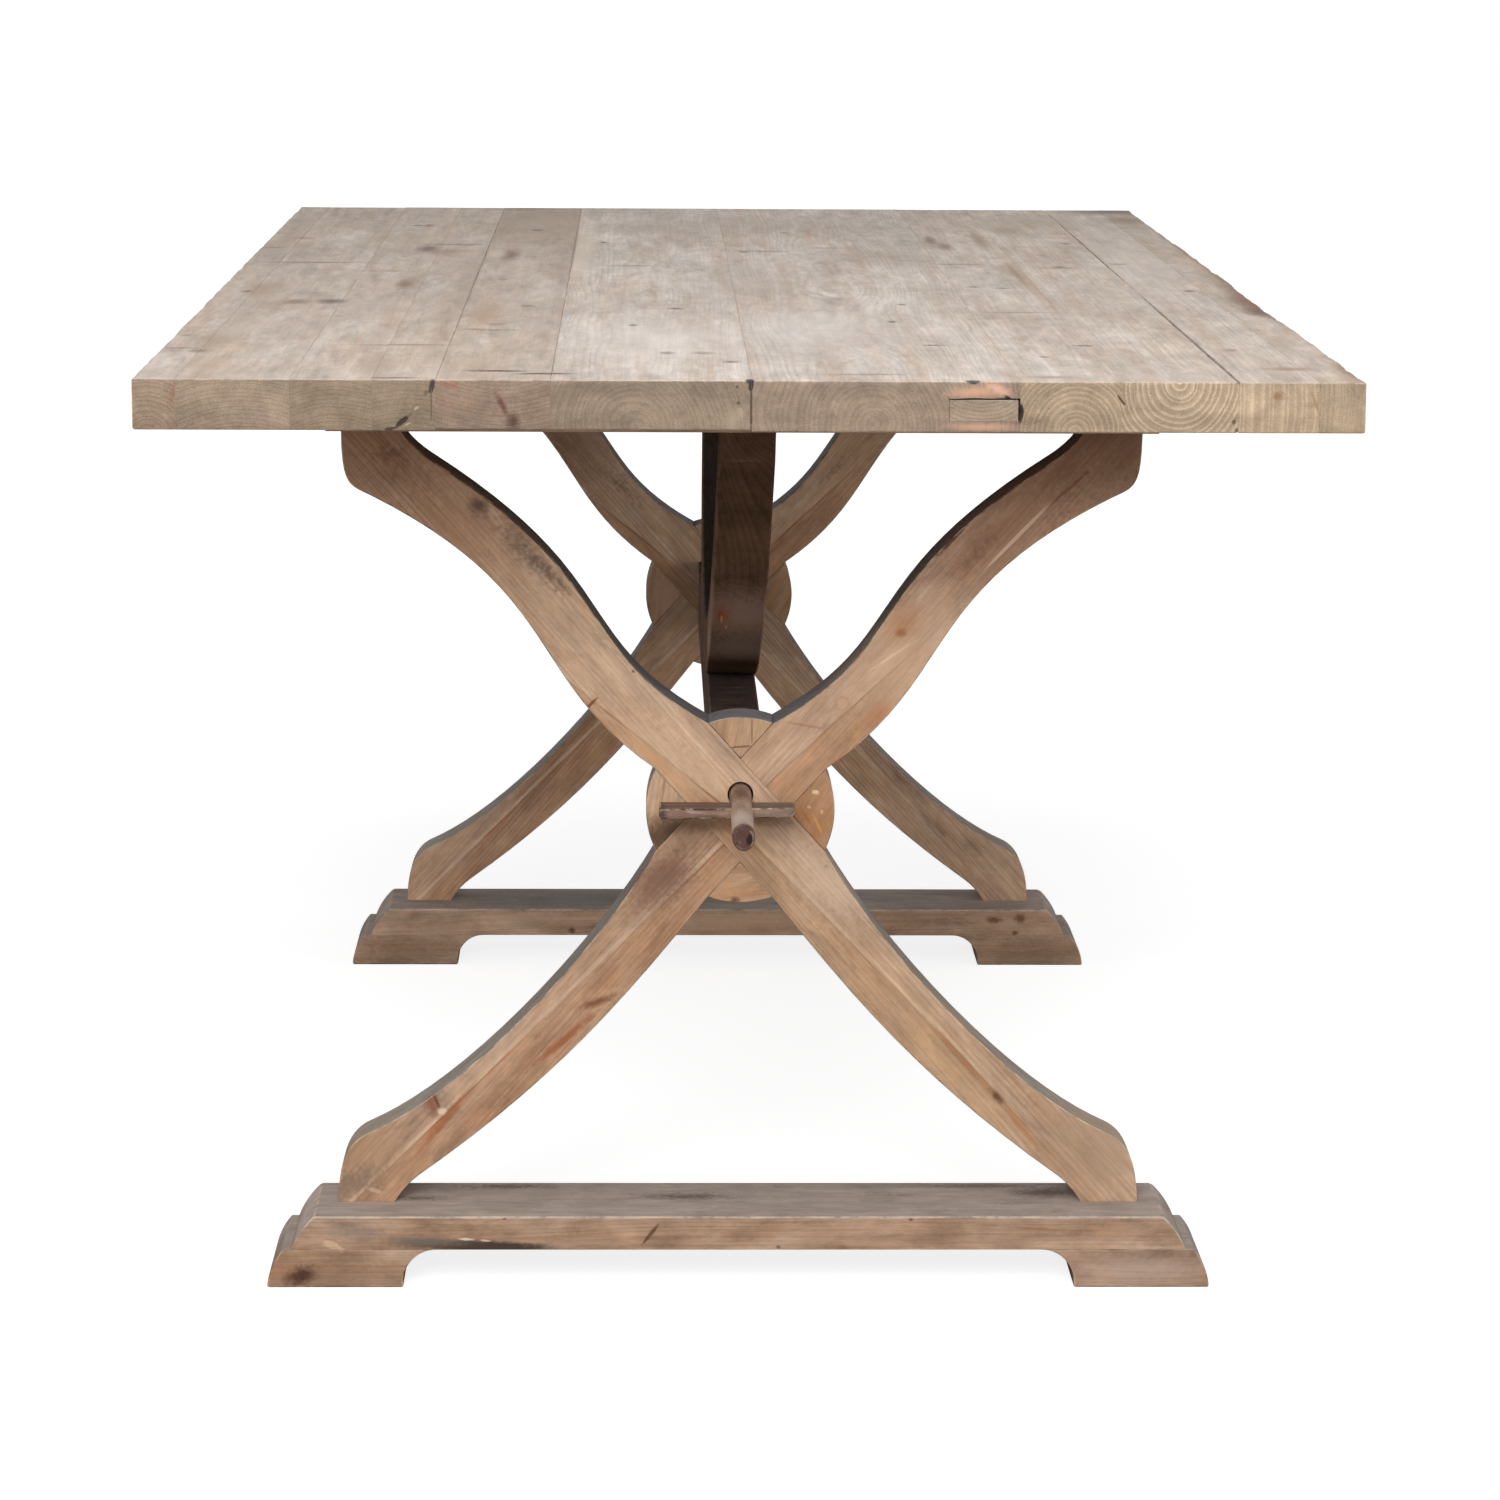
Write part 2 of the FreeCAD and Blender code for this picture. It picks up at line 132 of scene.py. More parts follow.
pineDefaults = {
    "early": "#c9ac90", "late": "#a9835f",
    "warm": "#bd9470", "warmAmount": 0.45,
    "pale": "#d4b99e", "paleAmount": 0.5,
    "brown": "#9a6f50", "brownAmount": 0.5,
    "smudge": "#6c5a4c", "smudgeAmount": 0.6,
    "endEarly": "#b59b82", "endLate": "#8d7259",
    "endStain": 0.22,
    "endFade": 1.0,            # how far the end rings fade into one another
    "worn": "#d3b799", "grime": "#4a3526",
    "edgeWear": 0.5,
    "grey": "#aaa097", "greyAmount": 0.25,
    "greyOnTop": 0.0,          # more grey on what faces up
    "dustAndShade": ((0, "#5f5852"),), # colour of the dust by height in mm; where it darkens upwards it is painted shade
    "dustAndShadeAmount": 0.0,         # dust, and painted shade, on what faces up
    "dustAndShadeCeiling": 800,        # mm; the colours of the dust and of the painted shade end at this height
    "grainAxis": (0, 1, 0),
    "ringSpacing": 3.4,        # mm between year rings
    "ringContrast": 0.55,
    "goodYears": 2.2,          # years that a run of good or bad ones shifts the rings
    "wander": 9.0,             # mm that the rings wander along the piece
    "ripple": 1.3,             # mm that they tremble
    "fibre": 0.16,             # tone of the fibres along the grain
    "mottle": 1.0,             # fine uneven tone, as hand sanding leaves it
    "sawMarks": 0.0,
    "blotchScale": (7.0, 24.0, 24.0),      # all scales are patches per metre along, across and in depth
    "smudgeScale": (11.0, 34.0, 34.0),
    "mottleScale": (20.0, 52.0, 52.0),
    "sawScale": (46.0, 8.0, 8.0),
    "patchScale": (7.5, 7.5, 7.5),
    "relief": 0.35,            # mm between what is raised and what is worn down
    "dented": 3.0,             # how many times deeper a dent is
    "roughness": 0.66,
    "gloss": 0.3,
    "seams": (),               # bands painted along a leg: a chamfer facet's own light past a seam, and a highlight along its ridge
    "knots": (),
    "knotReach": 4.0,          # in half sizes of a knot, how far it pushes the rings aside
    "heart": "#7b4f35", "rim": "#4a2f22", "halo": "#a07a5c",      # of a knot
    "marks": (),
    "markRim": 1.45,           # in half sizes, where a mark has ended, its raggedness added
}

# marks that old boards carry, and patches of painted shade and painted light; the higher "ragged" is, the
# more the rim breaks up
markKinds = {
    "nick": {"colour": "#43362d", "ragged": 0.9, "soft": 0.9, "strength": 0.75, "dent": True},
    "hole": {"colour": "#1d1613", "ragged": 0.5, "soft": 0.35, "strength": 0.95, "dent": True},
    "crack": {"colour": "#35271f", "ragged": 0.9, "soft": 0.5, "strength": 0.9, "dent": True},
    "scratch": {"colour": "#6f5d50", "ragged": 1.3, "soft": 0.8, "strength": 0.6, "dent": True},
    "fresh": {"colour": "#d0ae8f", "ragged": 1.1, "soft": 0.5, "strength": 0.7, "dent": True},
    "smudge": {"colour": "#5f5146", "ragged": 1.8, "soft": 1.0, "strength": 0.6, "dent": False},
    "stain": {"colour": "#a2805f", "ragged": 1.6, "soft": 1.2, "strength": 0.5, "dent": False},
    "heart": {"colour": "#7a5239", "ragged": 1.0, "soft": 0.8, "strength": 0.8, "dent": False},
    "streak": {"colour": "#7f5334", "ragged": 0.8, "soft": 0.8, "strength": 0.6, "dent": False},
    "tone": {"colour": "#8a6f59", "ragged": 0.7, "soft": 1.1, "strength": 0.5, "dent": False},
    "deep": {"colour": "#6d523f", "ragged": 0.7, "soft": 1.0, "strength": 0.8, "dent": False},
}


def marksOf(rows, axis=0, level=0.0):
    # a row is a kind, the middle and half sizes in mm, the turn about Y in degrees, or about all three axes,
    # then a colour and other changes; a middle of two numbers lies where that axis has that level
    marks = []
    for kind, middle, half, turn, *own in rows:
        if len(middle) == 2:
            middle = (*middle[:axis], level, *middle[axis:])
        mark = {**markKinds[kind], "at": middle, "size": half}
        mark["turn"] = turn if isinstance(turn, tuple) else (0, turn, 0)
        if own and own[0]:
            mark["colour"] = own[0]
        marks.append({**mark, **(own[1] if len(own) > 1 else {})})
    return marks


def pineMaterial(name, changes):
    # reclaimed pine, sawn and hand sanded: pale early wood, brown late wood, matt with raised grain
    look = {**pineDefaults, **changes}
    material = bpy.data.materials.new(name)
    tree = emptyTree(material)
    add = partial(addNode, tree)
    wood = add("Attribute", {"attribute_name": "wood"}, {}, "Vector")
    edge = add("Attribute", {"attribute_name": "edge"}, {}, "Fac")
    place = add("TexCoord", {}, {}, "Object")
    sideways = add("SeparateXYZ", {}, {0: place}, "X")
    height = add("SeparateXYZ", {}, {0: place}, "Z")
    facing = add("NewGeometry", {}, {}, "True Normal")
    up = add("SeparateXYZ", {}, {0: facing}, "Z")

    # every noise: what it reads, patches per metre along each axis, detail, roughness and distortion;
    # fibres are drawn 1.6 mm wide and pores 1 mm, coarser than real ones, so that they show
    noise = {}
    for part, at, scale, *finish in (
        ("slow", wood, (1.6, 7.0, 7.0), 2.0, 0.5, 0.0),
        ("strength", wood, (3.68, 16.1, 16.1), 3.0, 0.5, 0.0),
        ("ripple", wood, (14.0, 160.0, 160.0), 2.0, 0.5, 0.0),
        ("fibre", wood, (9.0, 620.0, 620.0), 4.0, 0.6, 0.0),
        ("streak", wood, (2.2, 75.0, 75.0), 4.0, 0.5, 0.0),
        ("blotch", wood, look["blotchScale"], 6.0, 0.68, 0.0),
        ("smudge", wood, look["smudgeScale"], 8.0, 0.72, 0.0),
        ("mottle", wood, look["mottleScale"], 9.0, 0.76, 0.4),
        ("saw", wood, look["sawScale"], 7.0, 0.68, 0.35),
        ("patch", place, look["patchScale"], 6.0, 0.62, 0.0),
        ("stain", place, (9.0, 9.0, 48.0), 6.0, 0.62, 0.0),
        ("pore", place, (900.0, 900.0, 900.0), 2.0, 0.5, 0.0),
        ("knot", place, (130.0, 130.0, 130.0), 3.0, 0.5, 0.0),
        ("mark", place, (260.0, 260.0, 260.0), 4.0, 0.5, 0.0),
        ("edge", place, (60.0, 60.0, 60.0), 5.0, 0.7, 0.0),
    ):
        stretched = add("VectorMath", "MULTIPLY", {0: at, 1: scale})
        sockets = dict(zip(("Detail", "Roughness", "Distortion"), finish))
        noise[part] = add("TexNoise", {}, {"Vector": stretched, "Scale": 1.0, **sockets})

    def distanceFrom(spot):
        # distance from the middle of a knot or mark, in its half sizes
        local = add("Mapping", {"vector_type": "TEXTURE"}, {
            "Vector": place, "Location": [v * mm for v in spot["at"]],
            "Rotation": [math.radians(v) for v in spot["turn"]], "Scale": [v * mm for v in spot["size"]],
        })
        return add("VectorMath", "LENGTH", {0: local}, "Value")

    # distance from the pith, bent by slow noise, pushed aside by knots, with a fine ripple
    bend = look["wander"] * mm * 2
    slow = noise["slow"].node.outputs["Color"]
    bent = add("VectorMath", "MULTIPLY_ADD", {0: slow, 1: (0.0, bend, bend), 2: wood})
    centred = add("VectorMath", "MULTIPLY_ADD", {0: bent, 1: (0, 1, 1), 2: (0, -bend / 2, -bend / 2)})
    radius = add("VectorMath", "LENGTH", {0: centred}, "Value")
    knotDistances = [distanceFrom(knot) for knot in look["knots"]]
    for knot, distance in zip(look["knots"], knotDistances):
        sockets = {0: distance, 1: 0.0, 2: look["knotReach"], 3: knot["push"] * mm, 4: 0.0}
        push = add("MapRange", {"interpolation_type": "SMOOTHERSTEP"}, sockets)
        radius = add("Math", "ADD", {0: radius, 1: push})
    radius = add("Math", "MULTIPLY_ADD", {0: noise["ripple"], 1: look["ripple"] * mm, 2: radius})

    # rings: the years are the distance over the ring spacing, with good and bad years;
    # late wood darkens slowly through each year and stops short
    uneven = add("TexNoise", {"noise_dimensions": "1D"}, {"W": radius, "Scale": 90.0, "Detail": 1.0})
    years = add("Math", "DIVIDE", {0: radius, 1: look["ringSpacing"] * mm})
    years = add("Math", "MULTIPLY_ADD", {0: uneven, 1: look["goodYears"], 2: years})
    year = add("Math", "FRACT", {0: years})
    season = ((0.0, 0.35), (0.12, 0.02), (0.5, 0.12), (0.86, 1.0), (0.94, 0.9), (1.0, 0.35))
    lateWood = add("ValToRGB", {"stops": [(at, (tone,) * 3 + (1,)) for at, tone in season]}, {"Fac": year})
    weak, strong = (look["ringContrast"] * times for times in (0.35, 1.25))
    ringAmount = add("MapRange", {}, {0: noise["strength"], 1: 0.3, 2: 0.7, 3: weak, 4: strong})

    # what lies on the early wood, from below: how much of it shows, its colour, how it is blended
    layers = [(add("Math", "MULTIPLY", {0: lateWood, 1: ringAmount}), look["late"], "MIX")]
    share = {}
    for tint, part, low, high in (
        ("warm", "streak", 0.42, 0.68), ("pale", "blotch", 0.5, 0.7), ("brown", "blotch", 0.48, 0.28),
        ("smudge", "smudge", 0.56, 0.76),
    ):
        share[tint] = add("MapRange", {}, {0: noise[part], 1: low, 2: high, 3: 0.0, 4: look[tint + "Amount"]})
    layers += [(share[tint], look[tint], "MIX") for tint in ("warm", "pale", "brown")]

    # a leg's lower edge carries a chamfer band that is painted, not modelled: past the seam its own tint is
    # painted light of that facet, a hair-thin joint line follows the seam, and a pale line beside it is a
    # painted highlight along the ridge; all of it fades away from the hub
    for seam in look["seams"]:
        offset = add("VectorMath", "SUBTRACT", {0: place, 1: [v * mm for v in seam["at"]]})
        beyond = add("VectorMath", "DOT_PRODUCT", {0: offset, 1: seam["towards"]}, "Value")
        beyond = add("Math", "MULTIPLY_ADD", {0: noise["ripple"], 1: seam["tremble"] * mm, 2: beyond})
        inPlane = add("VectorMath", "MULTIPLY", {0: offset, 1: (1, 0, 1)})
        away = add("VectorMath", "LENGTH", {0: inPlane}, "Value")
        start, end = (v * mm for v in seam["fade"])
        present = add("MapRange", smoothStep, {0: away, 1: start, 2: end, 3: 1.0, 4: seam["farAmount"]})
        start, end = (v * mm for v in seam["armsMeet"])
        onArm = add("MapRange", {}, {0: sideways, 1: start, 2: end, 3: seam["arm"] < 0, 4: seam["arm"] > 0})
        present = add("Math", "MULTIPLY", {0: present, 1: onArm})
        strip = add("MapRange", {}, {0: beyond, 1: 0.0, 2: seam["tintIn"] * mm, 3: 0.0, 4: seam["strength"]})
        before = add("Math", "ABSOLUTE", {0: add("Math", "ADD", {0: beyond, 1: seam["ridgeAt"] * mm})})
        end = seam["ridgeHalf"] * mm
        ridge = add("MapRange", smoothStep, {0: before, 1: 0.0, 2: end, 3: seam["ridge"], 4: 0.0})
        nearJoint = add("Math", "ABSOLUTE", {0: beyond})
        broken = add("MapRange", {}, {0: noise["streak"], 1: 0.35, 2: 0.6, 3: 0.1, 4: seam["line"]})
        start, end = (v * mm for v in seam["lineHalf"])
        joint = add("MapRange", {}, {0: nearJoint, 1: start, 2: end, 3: broken, 4: 0.0})
        for amount, tint, blend in (
            (strip, seam["tint"], "MULTIPLY"),
            (ridge, look["worn"], "MIX"),
            (joint, seam["lineColour"], "MIX"),
        ):
            layers.append((add("Math", "MULTIPLY", {0: amount, 1: present}), tint, blend))

    # handling dirt, in soft smudges that run with the grain
    layers.append((share["smudge"], look["smudge"], "MIX"))

    # weathered grey in patches, heavier where the face looks up
    sockets = {0: up, 1: 0.3, 2: 0.9, 3: look["greyAmount"], 4: look["greyAmount"] + look["greyOnTop"]}
    upAmount = add("MapRange", {}, sockets)
    patchAmount = add("MapRange", {}, {0: noise["patch"], 1: 0.36, 2: 0.64, 3: 0.25, 4: 1.3})
    greyShare = add("Math", {"operation": "MULTIPLY", "use_clamp": True}, {0: upAmount, 1: patchAmount})
    layers.append((greyShare, look["grey"], "MIX"))

    # end grain: the same rings, browner, with open pores
    endDot = add("VectorMath", "DOT_PRODUCT", {0: facing, 1: look["grainAxis"]}, "Value")
    endAmount = add("Math", "ABSOLUTE", {0: endDot})
    endShare = add("MapRange", smoothStep, {0: endAmount, 1: 0.6, 2: 0.9})
    endEarly, endLate = linearColour(look["endEarly"]), linearColour(look["endLate"])
    endColour = add("Mix", ofColours, {0: lateWood, 6: endEarly, 7: endLate}, 2)
    endFade = add("Math", "MULTIPLY", {0: noise["strength"], 1: look["endFade"]})
    endSoft = add("Mix", ofColours, {0: endFade, 6: endColour, 7: endEarly}, 2)
    layers.append((endShare, endSoft, "MIX"))
    # dust on what faces up, coloured by height; colours that darken towards the top are painted shade
    if look["dustAndShadeAmount"]:
        ceiling = look["dustAndShadeCeiling"]
        dustAndShadeShare = add("MapRange", smoothStep, {0: up, 1: 0.1, 2: 0.5, 3: 0.0, 4: look["dustAndShadeAmount"]})
        level = add("Math", "DIVIDE", {0: height, 1: ceiling * mm})
        stops = [(at / ceiling, linearColour(tint)) for at, tint in look["dustAndShade"]]
        layers.append((dustAndShadeShare, add("ValToRGB", {"stops": stops}, {"Fac": level}), "MIX"))

    # fibres, pores and hand sanding darken and lighten the wood a little; saw and plane marks lie
    # across the grain, a few centimetres apart, and are worn off in places
    tone = {}
    for part, low, high, dark, light in (
        ("fibre", 0.3, 0.7, 1 - 1.25 * look["fibre"], 1 + 0.75 * look["fibre"]),
        ("pore", 0.3, 0.7, 0.82, 1.12),
        ("stain", 0.34, 0.66, 1 - look["endStain"], 1 + 0.6 * look["endStain"]),
        ("mottle", 0.32, 0.68, 1 - 0.2 * look["mottle"], 1 + 0.13 * look["mottle"]),
        ("saw", 0.3, 0.7, -0.2, 0.15),
        ("strength", 0.36, 0.62, 0.15 * look["sawMarks"], look["sawMarks"]),
    ):
        tone[part] = add("MapRange", {}, {0: noise[part], 1: low, 2: high, 3: dark, 4: light})
    endTone = add("Math", "MULTIPLY", {0: tone["pore"], 1: tone["stain"]})
    woodTone = add("Mix", {"data_type": "FLOAT"}, {0: endShare, 2: tone["fibre"], 3: endTone})
    woodTone = add("Math", "MULTIPLY", {0: woodTone, 1: tone["mottle"]})
    sawTone = add("Math", "MULTIPLY_ADD", {0: tone["saw"], 1: tone["strength"], 2: 1.0})
    layers += [(1.0, woodTone, "MULTIPLY"), (1.0, sawTone, "MULTIPLY")]

    # knots: brown heart, dark rim, then a browner halo that fades out
    for knot, distance in zip(look["knots"], knotDistances):
        rough = add("Math", "MULTIPLY_ADD", {0: noise["knot"], 1: 0.9, 2: distance})
        heart, rim, halo = (linearColour(look[part])[:3] for part in ("heart", "rim", "halo"))
        strength = knot["strength"]
        stops = (
            (0.0, heart + [strength]), (0.42, heart + [strength]), (0.55, rim + [strength]),
            (0.64, halo + [strength * 0.55]), (1.0, halo + [0.0]),
        )
        ramp = add("ValToRGB", {"stops": stops}, {"Fac": add("Math", "MULTIPLY", {0: rough, 1: 0.4})})
        layers.append((ramp.node.outputs["Alpha"], ramp, "MIX"))

    # spots, dents, cracks and stains, and patches of painted shade and painted light, each an ellipsoid with
    # a ragged rim
    dents = None
    end = look["markRim"]
    for mark in look["marks"]:
        ragged = add("Math", "MULTIPLY_ADD", {0: noise["mark"], 1: mark["ragged"], 2: distanceFrom(mark)})
        start = end - mark["soft"]
        amount = add("MapRange", smoothStep, {0: ragged, 1: start, 2: end, 3: mark["strength"], 4: 0.0})
        layers.append((amount, mark["colour"], "MIX"))
        if mark["dent"]:
            dents = amount if dents is None else add("Math", "MAXIMUM", {0: dents, 1: amount})

    # rubbed arrises, lighter where bare and darker where grime has caught
    for low, high, tint in ((0.45, 0.6, "worn"), (0.46, 0.34, "grime")):
        amount = add("MapRange", {}, {0: noise["edge"], 1: low, 2: high})
        amount = add("Math", "MULTIPLY", {0: amount, 1: edge})
        layers.append((add("Math", "MULTIPLY", {0: amount, 1: look["edgeWear"]}), look[tint], "MIX"))

    colour = linearColour(look["early"])
    for amount, tint, blend in layers:
        tint = linearColour(tint) if isinstance(tint, str) else tint
        colour = add("Mix", {**ofColours, "blend_type": blend}, {0: amount, 6: colour, 7: tint}, 2)

    # raised late wood, fibres, saw marks and dents as relief
    relief = add("Math", "MULTIPLY", {0: lateWood, 1: 0.35})
    relief = add("Math", "MULTIPLY_ADD", {0: noise["fibre"], 1: 0.5, 2: relief})
    relief = add("Math", "MULTIPLY_ADD", {0: noise["saw"], 1: 0.2 + 0.8 * look["sawMarks"], 2: relief})
    if dents is not None:
        relief = add("Math", "MULTIPLY_ADD", {0: dents, 1: -look["dented"], 2: relief})
    bump = add("Bump", {}, {"Height": relief, "Distance": look["relief"] * mm, "Strength": 0.7})
    matt = look["roughness"]
    roughness = add("MapRange", {}, {0: noise["patch"], 1: 0.3, 2: 0.7, 3: matt - 0.07, 4: matt + 0.09})
    shader = add("BsdfPrincipled", {}, {
        "Base Color": colour, "Roughness": roughness, "Normal": bump, "IOR": 1.45,
        "Specular IOR Level": look["gloss"],
    })
    add("OutputMaterial", {}, {"Surface": shader})
    return material


# The top: planks as rounded sections carried from the near end to the far end

topForm = {
    "halfLength": 914.5,
    "upper": 768.0,
    "lower": 730.0,
    "widths": (32, 84, 61, 47, 85, 149, 199, 75, 87, 60, 35),
    "farShort": (0.0, 1.5, 0.5, 2.0, 0.8, 0.0, 1.0, 1.6, 0.4, 1.2, 0.6),      # mm each far end stands back
    "thinner": {4: 1.2, 5: 1.2},           # mm planed off the underside, by place in the row
    "seamArris": (0.25, 0.25, 0.25, 0.9, 0.7, 0.3, 0.25, 0.35, 1.5, 0.4),     # mm, at each joint in turn
    "outerArris": 2.0,
    "endArris": 1.4,
    "shoulder": 1.2,           # mm of flat face kept beside a rounded arris
    "bark": ((-425, -55, 3.0), (-905, -800, 2.0), (420, 905, 2.0), (60, 230, 1.2)),     # from, to and bite
    "arrisRuns": (45, 11),     # mm over which an arris widens and narrows, coarse and fine
    "barkIn": 25,              # mm over which a bite of the bark edge comes and goes
    "barkRun": 30,             # mm over which its depth changes
    "undulation": 0.35,        # mm that the hand-sanded face dips
    "dipRuns": (140, 35, 37),  # mm between dips along and across, and between finer ones along
    "station": 8.0,            # mm between sections
    "across": 9.0,             # mm between points across the face
    "firstStations": (5, 12),  # mm from either end to its first plain sections
    "gap": 0.03,               # mm left at each side of a plank
    "mortised": 6,             # the plank with the mortise, and the mortise's two corners
    "mortise": ((147.2, -930.0, 737.9), (201.0, -873.5, 754.8)),
    "mortiseRagged": 0.96,     # mm that its upper and right walls wander
    "mortiseRuns": (9, 7),     # mm between their ups and downs
}
topLook = {
    "early": "#cfc1b4", "late": "#a18b79",
    "warm": "#bfa48c", "warmAmount": 0.75,
    "pale": "#e0d8d0", "paleAmount": 0.75,
    "brown": "#a88d76", "brownAmount": 0.75,
    "smudge": "#8a7462", "smudgeAmount": 0.6,
    "grey": "#b6aaa1", "greyAmount": 0.12, "greyOnTop": 0.4,
    "worn": "#cdbaa6", "grime": "#6a574a", "edgeWear": 0.3,
    "ringContrast": 0.5, "fibre": 0.07, "mottle": 1.5, "sawMarks": 0.5,
    "patchScale": (9.0, 2.6, 9.0),
    "mottleScale": (11.0, 56.0, 56.0),
    "sawScale": (30.0, 12.0, 12.0),
    "blotchScale": (3.4, 19.0, 19.0),
    "smudgeScale": (4.0, 22.0, 22.0),
}
# pith of each plank (x, z in mm), its early wood on the face, its early and late wood at the ends,
# and what else differs from the look of the top
planks = [
    ((-447, 726), "#c5b5a7", "#907d6a", "#776553", {}),
    ((-383, 640), "#c8b9ab", "#91806d", "#82705e", {}),
    ((-310, 655), "#cabaac", "#897865", "#7b6a58", {}),
    ((-256, 640), "#c6b6a6", "#877664", "#796856", {}),
    ((-190, 860), "#c4b2a1", "#8a7767", "#7b6758", {"brownAmount": 0.9}),
    ((-89, 736), "#dcd1c7", "#8d7c6b", "#796757", {"wander": 18.0, "ringContrast": 0.42, "ringSpacing": 4.2}),
    ((87, 735), "#dbd0c6", "#93806f", "#7b6858", {"wander": 22.0, "ringContrast": 0.55, "ringSpacing": 4.0}),
    ((241, 731), "#dbcfc4", "#9a866f", "#b6a28a", {"ringContrast": 0.4, "ringSpacing": 3.9, "endFade": 0.55}),
    ((317, 768), "#d6c8ba", "#a08b74", "#cab69c", {"ringSpacing": 4.3, "endFade": 0.5}),
    ((200, 748), "#dbcec2", "#a38e76", "#bda991", {"ringSpacing": 4.8, "endFade": 0.6}),
    ((300, 745), "#c3af9b", "#a7937b", "#8f7d66", {"brownAmount": 0.8}),
]
# tones that stop at a plank's own sides, by its place in the row
plankTones = {
    3: [("tone", (-240, -150), (16, 760, 8), 0, "#9c8979")],
    4: [
        ("deep", (-190, 700), (160, 420, 8), 0, "#94826f"),
        ("tone", (-154, -60), (16, 560, 8), 0, "#948377"),
        ("tone", (-215, -380), (18, 260, 8), 0, "#ab9078"),
    ],
    5: [
        ("tone", (-60, -600), (110, 260, 8), 0, "#d9d0ca"),
        ("tone", (-140, 300), (20, 500, 8), 0, "#d9cab8"),
    ],
    6: [
        ("tone", (150, 240), (70, 150, 8), 0, "#9b897b"),
        ("tone", (60, -500), (90, 300, 8), 0, "#d9d1cb"),
    ],
    9: [("tone", (390, 200), (60, 500, 8), 0, "#cfc4bb")],
}
onTopFace = {"axis": 2, "level": topForm["upper"]}
